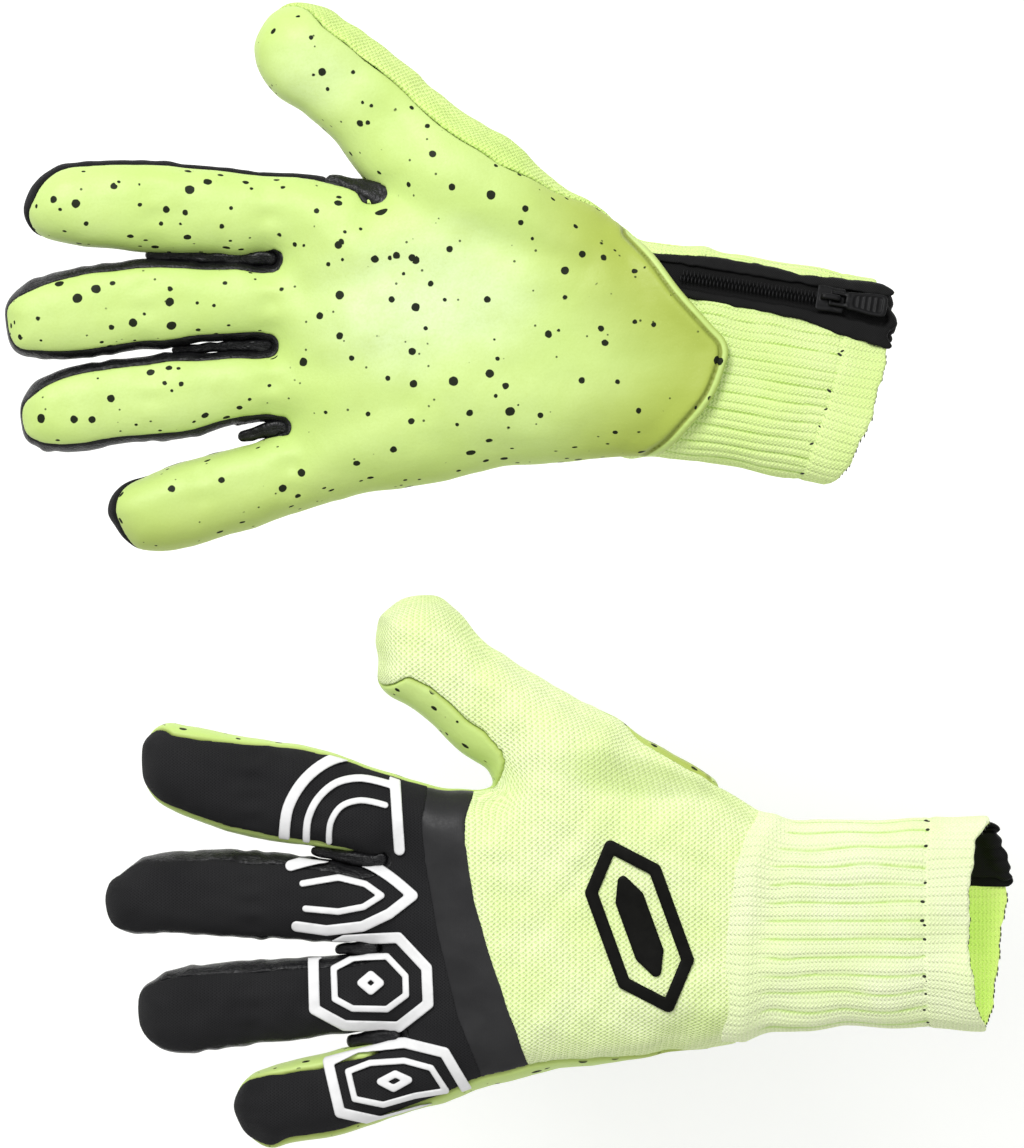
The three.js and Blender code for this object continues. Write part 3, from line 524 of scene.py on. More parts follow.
def make(name, verts, faces, material, tex, normals, values=None):
    """A mesh object from millimetre vertices. tex is a rest-position texture coordinate."""
    mesh = bpy.data.meshes.new(name)
    sides = faces.shape[1]
    mesh.vertices.add(len(verts))
    mesh.vertices.foreach_set("co", ((verts + SHIFT) / 1000).astype(np.float32).ravel())
    mesh.loops.add(faces.size)
    mesh.loops.foreach_set("vertex_index", faces.astype(np.int32).ravel())
    mesh.polygons.add(len(faces))
    mesh.polygons.foreach_set("loop_start", (np.arange(len(faces)) * sides).astype(np.int32))
    mesh.update(calc_edges=True)
    mesh.validate()
    mesh.polygons.foreach_set("use_smooth", np.full(len(mesh.polygons), True))
    rest = mesh.attributes.new("tex", "FLOAT_VECTOR", "POINT")
    rest.data.foreach_set("vector", np.asarray(tex, np.float32).ravel())
    obj = bpy.data.objects.new(name, mesh)
    bpy.context.scene.collection.objects.link(obj)
    mesh.materials.append(material)
    mesh.normals_split_custom_set_from_vertices([tuple(normal) for normal in normals])
    for key, numbers in (values or {}).items():
        attribute = mesh.attributes.new(key, "FLOAT", "POINT")
        attribute.data.foreach_set("value", np.asarray(numbers, np.float32))
    return obj


# ------------------------------------------------------------------ materials
class Look:
    """A material built from nodes on the piece's own rest position, in millimetres."""

    def __init__(self, name, rough, specular, sheen=0.0):
        self.material = bpy.data.materials.new(name)
        self.material.use_nodes = True
        self.tree = self.material.node_tree
        self.tree.nodes.clear()
        output = self.node("ShaderNodeOutputMaterial")
        self.shader = self.node("ShaderNodeBsdfPrincipled")
        self.tree.links.new(self.shader.outputs[0], output.inputs[0])
        self.set("Roughness", rough)
        self.set("Specular IOR Level", specular)
        self.set("Sheen Weight", sheen)
        self.set("Sheen Roughness", 0.5)

    @cached_property
    def position(self):
        return self.attribute("tex", "Vector")

    @cached_property
    def axes(self):
        split = self.node("ShaderNodeSeparateXYZ")
        self.put(split.inputs[0], self.position)
        return split.outputs

    def node(self, kind, **settings):
        node = self.tree.nodes.new(kind)
        for key, value in settings.items():
            setattr(node, key, value)
        return node

    def put(self, socket, value):
        """Links a socket, or sets its value."""
        if isinstance(value, bpy.types.NodeSocket):
            self.tree.links.new(value, socket)
            return
        if socket.type == "RGBA" and len(value) == 3:
            value = tuple(value) + (1.0,)
        socket.default_value = value

    def set(self, name, value):
        self.put(self.shader.inputs[name], value)

    def attribute(self, name, kind="Fac"):
        return self.node("ShaderNodeAttribute", attribute_name=name).outputs[kind]

    def math(self, operation, *values):
        node = self.node("ShaderNodeMath", operation=operation)
        for socket, value in zip(node.inputs, values):
            self.put(socket, value)
        return node.outputs[0]

    def times(self, first, second, plus=None):
        if plus is None:
            return self.math("MULTIPLY", first, second)
        return self.math("MULTIPLY_ADD", first, second, plus)

    def noise(self, size, detail=2.0, rough=0.5, distort=0.0, position=None, output=0):
        node = self.node("ShaderNodeTexNoise")
        self.put(node.inputs["Vector"], self.position if position is None else position)
        node.inputs["Scale"].default_value = 1.0 / size
        node.inputs["Detail"].default_value = detail
        node.inputs["Roughness"].default_value = rough
        node.inputs["Distortion"].default_value = distort
        return node.outputs[output]

    def cells(self, size, position=None):
        node = self.node("ShaderNodeTexVoronoi")
        self.put(node.inputs["Vector"], self.position if position is None else position)
        node.inputs["Scale"].default_value = 1.0 / size
        return node.outputs

    def ramp(self, value, start, end, low=0.0, high=1.0, smooth=True):
        """Goes from low to high as the value goes from start to end."""
        kind = "SMOOTHSTEP" if smooth else "LINEAR"
        node = self.node("ShaderNodeMapRange", interpolation_type=kind)
        for socket, number in zip(node.inputs, (value, start, end, low, high)):
            self.put(socket, number)
        return node.outputs[0]

    def mix(self, share, first, second):
        node = self.node("ShaderNodeMix", data_type="RGBA")
        self.put(node.inputs[0], share)
        self.put(node.inputs[6], first)
        self.put(node.inputs[7], second)
        return node.outputs[2]

    def tint(self, color, other, where, much):
        return self.mix(self.times(where, much), color, other)

    def mottle(self, noise, first, second):
        """Two colours that drift into each other with a noise."""
        return self.mix(self.ramp(noise, 0.3, 0.7), first, second)

    def oval(self, centre, reach):
        """Squared distance from a centre in plan, 1 at the oval's rim."""
        dx, dy = (self.times(self.axes[k], 1 / reach[k], -centre[k] / reach[k]) for k in (0, 1))
        return self.times(dx, dx, self.times(dy, dy))

    def wave(self, value, pitch):
        """Cosine of a coordinate, 0 to 1."""
        angle = self.times(value, 2 * math.pi / pitch, 0.0)
        return self.times(self.math("COSINE", angle), 0.5, 0.5)

    def bump(self, height, depth, strength=1.0, normal=None):
        """A height of 0 to 1 stands for a depth in millimetres."""
        node = self.node("ShaderNodeBump")
        self.put(node.inputs["Height"], height)
        node.inputs["Distance"].default_value = depth / 1000
        node.inputs["Strength"].default_value = strength
        if normal is not None:
            self.put(node.inputs["Normal"], normal)
        return node.outputs[0]

    def done(self, color, rough=None, normal=None):
        self.set("Base Color", color)
        if rough is not None:
            self.set("Roughness", rough)
        if normal is not None:
            self.set("Normal", normal)
        return self.material


def scaled(factor, color):
    return tuple(factor * channel for channel in color)


def rubber_flecks(look, edge):
    """Warped large flecks and small round ones, kept off the cut edges."""
    warp = look.node("ShaderNodeVectorMath", operation="SCALE")
    look.put(warp.inputs[0], look.noise(size=2.0, output=1))
    warp.inputs["Scale"].default_value = 0.6
    moved = look.node("ShaderNodeVectorMath", operation="ADD")
    look.put(moved.inputs[0], look.position)
    look.put(moved.inputs[1], warp.outputs[0])
    large = look.cells(size=6.3, position=moved.outputs[0])
    split = look.node("ShaderNodeSeparateColor")
    look.put(split.inputs[0], large["Color"])
    chance = look.math("POWER", split.outputs[0], 2.0)
    radius = look.ramp(chance, 0.0, 1.0, low=0.10, high=0.27, smooth=False)
    beyond = look.math("SUBTRACT", large["Distance"], radius)
    fleck = look.ramp(beyond, -0.012, 0.018, low=1.0, high=0.0)
    small = look.ramp(look.cells(size=7.4)["Distance"], 0.045, 0.075, low=1.0, high=0.0)
    fleck = look.math("MAXIMUM", fleck, look.times(small, 0.85))
    return look.times(fleck, look.ramp(edge, -1.2, -0.4, low=1.0, high=0.0))


def latex_look():
    # painted highlights, as paler patches: centre, reach, strength
    highlight_patches = [((-30.0, 91.0), (44.0, 30.0), 1.0), ((4.0, -112.0), (44.0, 30.0), 1.0),
               ((-66.0, 166.0), (22.0, 20.0), 0.45)]
    look = Look("latex_foam", rough=0.5, specular=0.4)
    broad = look.noise(size=38)
    medium = look.noise(size=7, detail=3, rough=0.55)
    fine = look.noise(size=0.9, detail=3, rough=0.6)
    color = look.mottle(broad, (0.535, 0.715, 0.20), (0.58, 0.75, 0.25))
    # painted highlight on the middle of the palms and on the thumb's pad
    for centre, reach, much in highlight_patches:
        distance = look.math("SQRT", look.oval(centre, reach))
        distance = look.times(look.math("SUBTRACT", broad, 0.5), 0.8, distance)
        near = look.ramp(distance, 0.15, 1.15, low=1.0, high=0.0)
        color = look.tint(color, (0.71, 0.86, 0.46), near, much)
    color = look.tint(color, (0.52, 0.68, 0.175), look.ramp(medium, 0.35, 0.75), 0.25)
    color = look.tint(color, (0.48, 0.63, 0.16), look.ramp(fine, 0.35, 0.7), 0.2)
    # painted shade: darker towards the wrist flap, where the foam slopes away, and darkest in the
    # stitched groove inside its edge
    flap = look.attribute("flap")
    color = look.tint(color, (0.37, 0.455, 0.060), look.ramp(flap, 44.0, 5.0),
                      look.ramp(flap, 1.7, 2.7, low=0.0, high=0.9))
    groove = look.times(look.ramp(flap, 1.9, 2.5), look.ramp(flap, 4.2, 3.1))
    color = look.tint(color, (0.22, 0.27, 0.04), groove, 0.8)
    # painted shade: the panel's edges are darker and yellower
    edge = look.attribute("edge")
    color = look.tint(color, (0.42, 0.52, 0.115), look.ramp(edge, -1.5, -0.1), 0.75)
    pore = look.ramp(look.cells(size=1.7)["Distance"], 0.10, 0.22, low=1.0, high=0.0)
    color = look.tint(color, (0.50, 0.62, 0.16), pore, 0.16)
    fleck = rubber_flecks(look, edge)
    color = look.tint(color, (0.006, 0.008, 0.005), fleck, 0.985)
    look.set("Specular IOR Level", look.ramp(fleck, 0, 1, low=0.4, high=0.1))
    height = look.times(fine, 0.35, look.times(medium, 1.0))
    normal = look.bump(height, depth=0.35, strength=0.55)
    normal = look.bump(pore, depth=0.10, strength=-0.8, normal=normal)
    normal = look.bump(fleck, depth=0.14, strength=0.7, normal=normal)
    return look.done(color, look.times(fine, 0.14, 0.42), normal)


def knit_look(name, base, pale, dark, pitch, depth, contrast,
              rough=0.85, specular=0.15, sheen=0.1, shade=()):
    """Pique knit: staggered rows of small pits between rounded loops."""
    look = Look(name, rough, specular, sheen)
    x = look.times(look.noise(size=5.0), 1.3, look.axes[0])
    y = look.times(look.noise(size=6.5), 1.3, look.axes[1])
    across = look.math("COSINE", look.times(x, 2 * math.pi / pitch[0]))
    along = look.math("COSINE", look.times(y, 2 * math.pi / pitch[1]))
    pit = look.times(look.times(across, along), 0.5, 0.5)
    arch = look.math("ABSOLUTE", look.math("SINE", look.times(y, math.pi / pitch[1])))
    loop = look.wave(look.times(arch, pitch[0] * 0.35, x), pitch[0] / 2)
    fuzz = look.noise(size=0.45, detail=3, rough=0.7)
    height = look.math("SUBTRACT", look.times(loop, 0.3, look.times(fuzz, 0.5)),
                       look.math("POWER", pit, 1.6))
    color = look.mottle(look.noise(size=26), base, pale)
    # painted shade: darker in the pits between the loops
    color = look.mix(look.ramp(height, 0.1, -0.75, low=0.0, high=contrast), color, dark)
    for centre, reach, much in shade:
        near = look.ramp(look.oval(centre, reach), 0.1, 1.6, low=1.0, high=0.0)
        color = look.tint(color, scaled(0.55, dark), near, much)
    normal = look.bump(height, depth, strength=0.9)
    normal = look.bump(look.noise(size=9), depth=0.6, strength=0.4, normal=normal)
    return look.done(color, normal=normal)


def band_look():
    look = Look("smooth_band", rough=0.5, specular=0.16)
    lines = look.wave(look.axes[0], pitch=0.55)
    fine = look.noise(size=1.2, detail=3, rough=0.6)
    height = look.times(fine, 0.5, look.times(lines, 0.3))
    color = look.mottle(look.noise(size=14), (0.021, 0.021, 0.022), (0.029, 0.029, 0.030))
    low = look.ramp(height, 0.2, 0.6, low=0.25, high=0.0)
    color = look.mix(low, color, (0.02, 0.02, 0.021))
    return look.done(color, look.times(fine, 0.25, 0.3),
                     look.bump(height, depth=0.05, strength=0.7))


def gusset_look():
    look = Look("gusset", rough=0.36, specular=0.34)
    grain = look.cells(size=1.15)["Distance"]
    crease = look.noise(size=3.2, detail=4, rough=0.65, distort=0.6)
    height = look.times(crease, 1.6, look.times(grain, -0.6))
    color = look.mix(look.ramp(crease, 0.35, 0.65), (0.005, 0.005, 0.006), (0.010, 0.010, 0.011))
    return look.done(color, look.times(crease, 0.35, 0.22),
                     look.bump(height, depth=0.5, strength=0.7))


def rubber_look(name, first, second, rough, specular, depth):
    look = Look(name, rough, specular)
    fine = look.noise(size=0.8, detail=3, rough=0.6)
    medium = look.noise(size=5, detail=3, rough=0.6)
    color = look.mottle(medium, first, second)
    # painted shade: darker towards the mark's edge, on its sloping sides
    rim = look.ramp(look.attribute("edge"), -0.5, 0.15, low=0.0, high=0.35)
    color = look.mix(rim, color, scaled(0.62, first))
    return look.done(color, look.times(fine, 0.25, rough - 0.1),
                     look.bump(look.times(medium, 0.6, fine), depth, strength=0.7))


def cuff_look(name, first, second, dark, inside=False):
    """Ribbed knit, on the distance along the cuff (x) and round it (y)."""
    look = Look(name, rough=0.85, specular=0.12, sheen=0.1)
    along, around = look.axes[0], look.axes[1]
    column = look.wave(around, RIB / 4)
    slant = look.math("ABSOLUTE", look.math("SINE", look.times(around, 4 * math.pi / RIB)))
    leaning = look.math("ADD", along, look.times(slant, 0.7))
    row = look.wave(look.math("ADD", leaning, look.times(look.noise(size=4), 0.5)), pitch=1.35)
    height = look.times(row, look.times(column, -0.6, 1.0))
    height = look.times(look.noise(size=0.45, detail=3, rough=0.7), 0.5, height)
    rib = look.attribute("rib")
    color = look.mottle(look.noise(size=24), first, second)
    middle = tuple(0.5 * (a + b) for a, b in zip(first, dark))
    # painted shade: darker in the low places between the stitches
    color = look.mix(look.ramp(height, 0.75, 0.1, low=0.0, high=0.42), color, middle)
    # painted shade: darker in the grooves between the ribs
    color = look.mix(look.ramp(rib, 0.66, 0.1, low=0.0, high=0.75), color, dark)
    normal = look.bump(height, depth=0.38, strength=0.9)
    # finer ribs between the deep grooves
    wale = look.math("POWER", look.wave(around, RIB / 2), 0.5)
    normal = look.bump(wale, depth=0.22, strength=0.7, normal=normal)
    # painted light: the inside faces glow, lightening the shade inside the cuff
    if inside:
        look.set("Emission Color", color)
        look.set("Emission Strength", 0.20)
    return look.done(color, normal=normal)


def zip_look(name, rough):
    look = Look(name, rough, specular=0.12)
    x, y = look.axes[0], look.axes[1]
    weave = look.times(look.wave(look.math("ADD", x, y), 0.8),
                       look.wave(look.math("SUBTRACT", x, y), 0.8))
    height = look.times(look.noise(size=0.6, detail=3), 0.4, weave)
    color = look.mix(look.ramp(height, 0.2, 0.8), (0.004, 0.004, 0.004), (0.012, 0.012, 0.012))
    return look.done(color, normal=look.bump(height, depth=0.14, strength=0.8))


def plastic_look():
    look = Look("zip_plastic", rough=0.42, specular=0.16)
    fine = look.noise(size=0.7, detail=3, rough=0.6)
    medium = look.noise(size=4, detail=3, rough=0.6)
    color = look.mottle(medium, (0.0018, 0.0018, 0.002), (0.0045, 0.0045, 0.005))
    return look.done(color, look.times(fine, 0.3, 0.3),
                     look.bump(fine, depth=0.05, strength=0.7))


def thread_look():
    look = Look("hem_thread", rough=0.8, specular=0.2, sheen=0.3)
    twist = look.wave(look.math("ADD", look.axes[0], look.axes[1]), pitch=0.5)
    color = look.mix(twist, (0.012, 0.014, 0.010), (0.03, 0.035, 0.02))
    return look.done(color, normal=look.bump(twist, depth=0.1, strength=0.8))


# each finish is a material and the name of a slot
LATEX = latex_look(), "latex_foam"
# painted light and shade: one knit, in a lighter copy for the left glove and a darker copy for the
# right
KNIT = {
    "right": (knit_look("lime_knit_right", base=(0.70, 0.93, 0.27), pale=(0.76, 0.95, 0.33),
                        dark=(0.47, 0.74, 0.10), pitch=(2.1, 1.7), depth=0.42,
                        contrast=0.75), "lime_knit"),
    "left": (knit_look("lime_knit_left", base=(0.84, 0.985, 0.47), pale=(0.89, 0.99, 0.57),
                       dark=(0.56, 0.82, 0.15), pitch=(2.1, 1.7), depth=0.40, contrast=0.7,
                       shade=[((46.0, -65.0), (30.0, 9.0), 0.32),
                              ((66.0, -152.0), (22.0, 8.0), 0.2)]), "lime_knit"),
}
BLACK = knit_look("black_knit", base=(0.015, 0.015, 0.016), pale=(0.020, 0.020, 0.021),
                  dark=(0.003, 0.003, 0.003), pitch=(1.3, 1.0), depth=0.16, contrast=0.7,
                  rough=0.8, specular=0.12, sheen=0.02), "black_knit"
BAND = band_look(), "smooth_band"
GUSSET = gusset_look(), "black_knit"
BADGE = rubber_look("moulded_badge", (0.0028, 0.0028, 0.0022), (0.005, 0.005, 0.004),
                    rough=0.5, specular=0.10, depth=0.06), "moulded_badge"
PRINT = rubber_look("white_print", (0.80, 0.80, 0.80), (0.86, 0.86, 0.86),
                    rough=0.45, specular=0.4, depth=0.05), "black_knit"
# painted light and shade: one cuff knit, in a lighter copy for the left glove and a darker copy for
# the right
CUFF = {
    "right": (cuff_look("cuff_knit_right", (0.74, 0.93, 0.34), (0.80, 0.95, 0.42),
                        dark=(0.39, 0.64, 0.08)), "lime_knit"),
    "left": (cuff_look("cuff_knit_left", (0.88, 0.99, 0.56), (0.93, 0.995, 0.66),
                       dark=(0.50, 0.76, 0.16)), "lime_knit"),
}
# painted light: the cuff's inside, which glows
CUFF_INSIDE = cuff_look("cuff_inside", (0.72, 0.99, 0.22), (0.80, 1.0, 0.28),
                        dark=(0.50, 0.78, 0.12), inside=True)
TAPE = zip_look("zip_tape", rough=0.75), "zip_tape"
PIPING = zip_look("zip_piping", rough=0.6), "zip_tape"
PLASTIC = plastic_look(), "zip_plastic"
THREAD = thread_look(), "lime_knit"


# ------------------------------------------------------------------ the hand form
def knuckle_x(side, y):
    return lookup([(hinge[1], hinge[0]) for hinge in HINGE[side].values()], y)


class Form:
    """The rounded solid of one glove's hand, as a distance-like field over a plan."""

    def __init__(self, side):
        self.side, self.sign = side, SIGN[side]
        step = self.step = PANEL_STEP
        outline = curve([(row + row[2:])[:4] for row in OUTLINE[side]], 4)
        low, high = outline[:, :2].min(0) - 5, outline[:, :2].max(0) + 5
        high[0] = min(high[0], 104.0)
        self.xs = np.arange(low[0], high[0], step)
        self.ys = np.arange(low[1], high[1], step)
        self.zs = np.arange(-3.6, 36.5, step)
        self.grid = (self.xs, self.ys, self.zs, step)
        x, y = self.x, self.y = np.meshgrid(self.xs, self.ys, indexing="ij")
        start, end, self.thumb_hinge = THUMB[side]
        self.thumb_length = math.hypot(end[0] - start[0], end[1] - start[1])
        self.thumb_start = start
        self.thumb_way = ((end[0] - start[0]) / self.thumb_length,
                          (end[1] - start[1]) / self.thumb_length)

        depth, palm_seam, back_seam = plan_distance(outline, x, y, True)
        for line in SLITS[side]:
            depth = np.minimum(depth, plan_distance(line, x, y)[0] - 0.62)
        plan = self.plan = {"depth": depth, "palm_seam": palm_seam, "back_seam": back_seam}
        self.set_thickness(plan, x, y)
        plan["palm_dip"] = self.palm_relief(x, y)
        plan["back_dip"] = self.back_relief(x, y)
        slope_x, slope_y = np.gradient(depth, step)
        slope = np.maximum(np.hypot(slope_x, slope_y), 1e-3)
        plan["out_x"], plan["out_y"] = -slope_x / slope, -slope_y / slope
        edge = curve(FLAP[side], 5, False)
        plan["flap"] = plan_distance(np.vstack([edge, np.array(FLAP_FAR[side], float)]),
                                     x, y, True)[0]
        # wrist frame
        wrist_x, wrist_y, turn = WRIST[side]
        turn = math.radians(turn)
        self.cuff_u = (math.cos(turn), math.sin(turn))
        self.cuff_t = (-math.sin(turn), math.cos(turn))
        for key, way in (("u", self.cuff_u), ("t", self.cuff_t)):
            plan[key] = (x - wrist_x) * way[0] + (y - wrist_y) * way[1]
        # distances past the edges of the band on the back
        move_x, move_y = BAND_MOVE[side]
        plan["front"] = x - (lookup(BAND_FRONT, y - move_y) + move_x)
        plan["rear"] = x - (lookup(BAND_REAR, y - move_y) + move_x)
        # noise and its height
        self.waves = [(waves(11 + self.sign, 14, 34.0), 0.55),
                      (waves(21 + self.sign, 18, 15.0), 0.22),
                      (waves(31 + self.sign, 22, 6.5), 0.05)]

    def set_thickness(self, plan, x, y):
        """Side rounding, half thickness and middle height over the plan."""
        knuckle = knuckle_x(self.side, y)
        palm = smoothstep((x - knuckle) / 32)
        slit = lookup(SLITS[self.side][2], x)
        little = smoothstep((slit - y) / 5 + 0.5) * smoothstep((-30 - x) / 20)
        rounding = 13.5 - 1.2 * little
        rounding = rounding + (24 - rounding) * palm
        half = 12.4 + (16 - 12.4) * smoothstep((x - knuckle) / 34)
        along, across = self.thumb_frame(x, y)
        plan["web"] = self.thumb_side(x, y)
        thumb = (smoothstep((along + 17) / 34) * (np.abs(across) < 38)
                 * smoothstep(plan["web"] / 4 + 0.5))
        plan["rounding"] = rounding + (16 - rounding) * thumb
        plan["half"] = half + (13.2 - half) * thumb
        plan["middle"] = plan["half"] - 0.6

    def palm_relief(self, x, y):
        relief = np.zeros_like(x)
        for line, depth, width in CREASES[self.side]:
            distance = plan_distance(curve(line, 4, False), x, y)[0]
            relief -= depth * np.exp(-(distance / width) ** 2)
        for knuckle, hinge_y, middle in HINGE[self.side].values():
            for fold, depth in ((knuckle + 2, 0.8), (middle, 0.7)):
                relief -= (depth * np.exp(-((x - fold) / 4.5) ** 2)
                           * np.exp(-((y - hinge_y) / 13) ** 2)
                           * (0.8 + 0.4 * np.sin(y * 0.7 + fold)))
        along, across = self.thumb_frame(x, y, self.thumb_hinge)
        relief -= 0.9 * np.exp(-(along / 6) ** 2) * np.exp(-(across / 15) ** 2)
        return self.add_swellings(relief, PALM_SWELLINGS, x, y)

    def back_relief(self, x, y):
        relief = np.zeros_like(x)
        for knuckle, hinge_y, middle in HINGE[self.side].values():
            relief += (0.7 * np.exp(-((x - knuckle - 4) / 11) ** 2)
                       * np.exp(-((y - hinge_y) / 9) ** 2))
            relief -= 0.35 * np.exp(-((x - middle) / 3.0) ** 2) * (1 + 0.5 * np.sin(y * 0.9))
        return self.add_swellings(relief, BACK_SWELLINGS, x, y)

    def add_swellings(self, relief, table, x, y):
        for height, mid_x, mid_y, reach_x, reach_y in table[self.side]:
            relief += height * np.exp(-((x - mid_x) / reach_x) ** 2 - ((y - mid_y) / reach_y) ** 2)
        return relief

    def thumb_point(self, distance):
        return tuple(self.thumb_start[k] + self.thumb_way[k] * distance for k in (0, 1))

    def thumb_frame(self, x, y, share=0.0):
        """Places along and across the thumb, from a share of its length."""
        way_x, way_y = self.thumb_way
        from_x = self.thumb_start[0] + way_x * self.thumb_length * share
        from_y = self.thumb_start[1] + way_y * self.thumb_length * share
        return ((x - from_x) * way_x + (y - from_y) * way_y,
                (x - from_x) * way_y - (y - from_y) * way_x)

    def thumb_side(self, x, y):
        """Distance from the line between thumb and index, positive on the thumb's side."""
        start, end = THUMB_LINE[self.side]
        run, rise = end[0] - start[0], end[1] - start[1]
        return -(run * (y - start[1]) - rise * (x - start[0])) / math.hypot(run, rise)

    def look(self, key, x, y):
        return bilinear(self.plan[key], (x - self.xs[0]) / self.step, (y - self.ys[0]) / self.step)

    def plan_at(self, xs, ys):
        x, y = np.meshgrid(xs, ys, indexing="ij")
        return {key: self.look(key, x, y) for key in self.plan}

    def field(self, xs, ys, zs, plan=None):
        """The surface field, the share of half thickness towards the palm, and the angle
        and radius that measure distance round the section."""
        plan = {key: value[:, :, None] for key, value in (plan or self.plan).items()}
        depth, rounding, half = plan["depth"], plan["rounding"], plan["half"]
        rise = zs[None, None, :] - plan["middle"]
        inward = np.maximum(0, 1 - depth / rounding)
        surface = rounded_section(inward, np.abs(rise) / half, rounding, half, 0.55)
        share = rise * self.sign / half
        x, y = np.meshgrid(xs, ys, indexing="ij")
        noise = 0
        for wave, height in self.waves:
            noise = noise + height * wave(x, y)[:, :, None] * (0.75 + 0.25 * np.cos(share * 1.7))
        noise = noise * np.clip((depth + 9) / 9, 0, 1)
        noise = noise * (1 - smoothstep((plan["u"] + 16) / 12) * smoothstep(0.7 - share))
        surface = surface - noise
        angle = np.arctan2(share, inward)
        radius = half * np.cos(angle) ** 2 + rounding * np.sin(angle) ** 2
        surface = (surface - plan["palm_dip"] * smoothstep(share * 1.3 - 0.05)
                   - plan["back_dip"] * smoothstep(-share * 1.3 - 0.05))
        return tuple(part.astype(np.float32) for part in (surface, share, angle, radius))


def wrap_tex(form, verts):
    """Rest texture coordinate in millimetres, unrolled down the sides."""
    x, y, z = verts.T
    out_x, out_y, half, middle = (form.look(key, x, y)
                                  for key in ("out_x", "out_y", "half", "middle"))
    top = np.clip(1 - np.abs(z - middle) / half, 0, 1)
    unroll = top * half * 1.15 * np.clip(top * 2.2, 0, 1)
    return np.stack([x + out_x * unroll, y + out_y * unroll, z], 1)


def zones(form, centres):
    """The zone of each point: 0 hand, then 1 + 2 i for a digit's base and 2 + 2 i for its tip."""
    x, y = centres[:, 0], centres[:, 1]
    zone = np.zeros(len(centres), int)
    finger = np.select([y > lookup(line, x) for line in SLITS[form.side]], [0, 1, 2], 3)
    web = form.thumb_side(x, y)
    for i, name in enumerate(FINGERS):
        knuckle, _, middle = HINGE[form.side][name]
        here = (finger == i) & (web <= 0)
        zone[here & (x < knuckle)] = 3 + 2 * i
        zone[here & (x < middle + BEND[name][0])] = 4 + 2 * i
    along, _ = form.thumb_frame(x, y)
    thumb = (web > 0) & (along > 4)
    zone[thumb] = 1
    zone[thumb & (along > form.thumb_length * form.thumb_hinge - 7)] = 2
    return zone


def place_zone(obj, form, zone):
    """Puts a piece of the hand on the hand's body; a digit's piece only has its transform baked."""
    hand = form.side + "_hand"
    if zone == 0:
        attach(obj, hand)
        return
    digit, tip = divmod(zone - 1, 2)
    name = DIGITS[digit]

    if name == "thumb":
        hinge = form.thumb_length * form.thumb_hinge
        start, end = (hinge - 6, hinge + 9) if tip else (5.2, 20)
        start, end = form.thumb_point(start), form.thumb_point(end)
    else:
        knuckle, y, middle = HINGE[form.side][name]
        _, tip_start, tip_end, base_end = BEND[name]
        start, end = (middle + tip_start, middle - tip_end) if tip else (
            knuckle - 1.2, knuckle - base_end)
        start, end = (start, y), (end, y)
    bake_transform(obj)


PIECES = {}   # (side, zone) to label to object


def place_panel(form, label, verts, quads, finish, zone, values=None):
    """Splits a mesh by zone into pieces whose cut edges coincide, and puts the hand's piece on its
    body.
    """
    material, slot = finish
    normals = normals_of(verts, quads)
    tex = wrap_tex(form, verts)
    made = []
    for k in np.unique(zone):
        faces = quads[zone == k]
        if k != 0 and len(faces) < 12:
            continue
        part = f"_{DIGITS[(k - 1) // 2]}_{'base' if k % 2 else 'tip'}" if k else ""
        used, inverse = np.unique(faces, return_inverse=True)
        obj = make(f"{form.side}_{label}{part}", verts[used], inverse.reshape(faces.shape),
                   material, tex[used], normals[used],
                   {key: numbers[used] for key, numbers in (values or {}).items()})
        place_zone(obj, form, k)
        PIECES.setdefault((form.side, k), {})[label] = obj
        made.append(obj)
    return made


def panel(form, label, surface, region, finish, thick, corner, grid=None, lift=0.0, rim=0.15,
          blunt=0.35, rounds=3, rigid=False, store_flap=False):
    """A padded shell on the form where region < 0. Its face stands `lift` off the surface,
    its underside lies `thick` below it, and it stops `rim` short of the region's edge."""
    grid = grid or form.grid
    shell = smax(surface - lift, -(surface + thick), blunt)
    field = smax(shell, region + rim, corner).astype(np.float32)
    verts, quads, part, origin = skin(field, grid, rounds)
    region = np.broadcast_to(region, field.shape)[part].astype(np.float32)
    values = {"edge": np.clip(sample(region, origin, grid[3], verts), -20, 3)}
    if store_flap:
        values["flap"] = np.clip(form.look("flap", verts[:, 0], verts[:, 1]), -5, 90)
    zone = np.zeros(len(quads), int) if rigid else zones(form, verts[quads].mean(1))
    return place_panel(form, label, verts, quads, finish, zone, values)


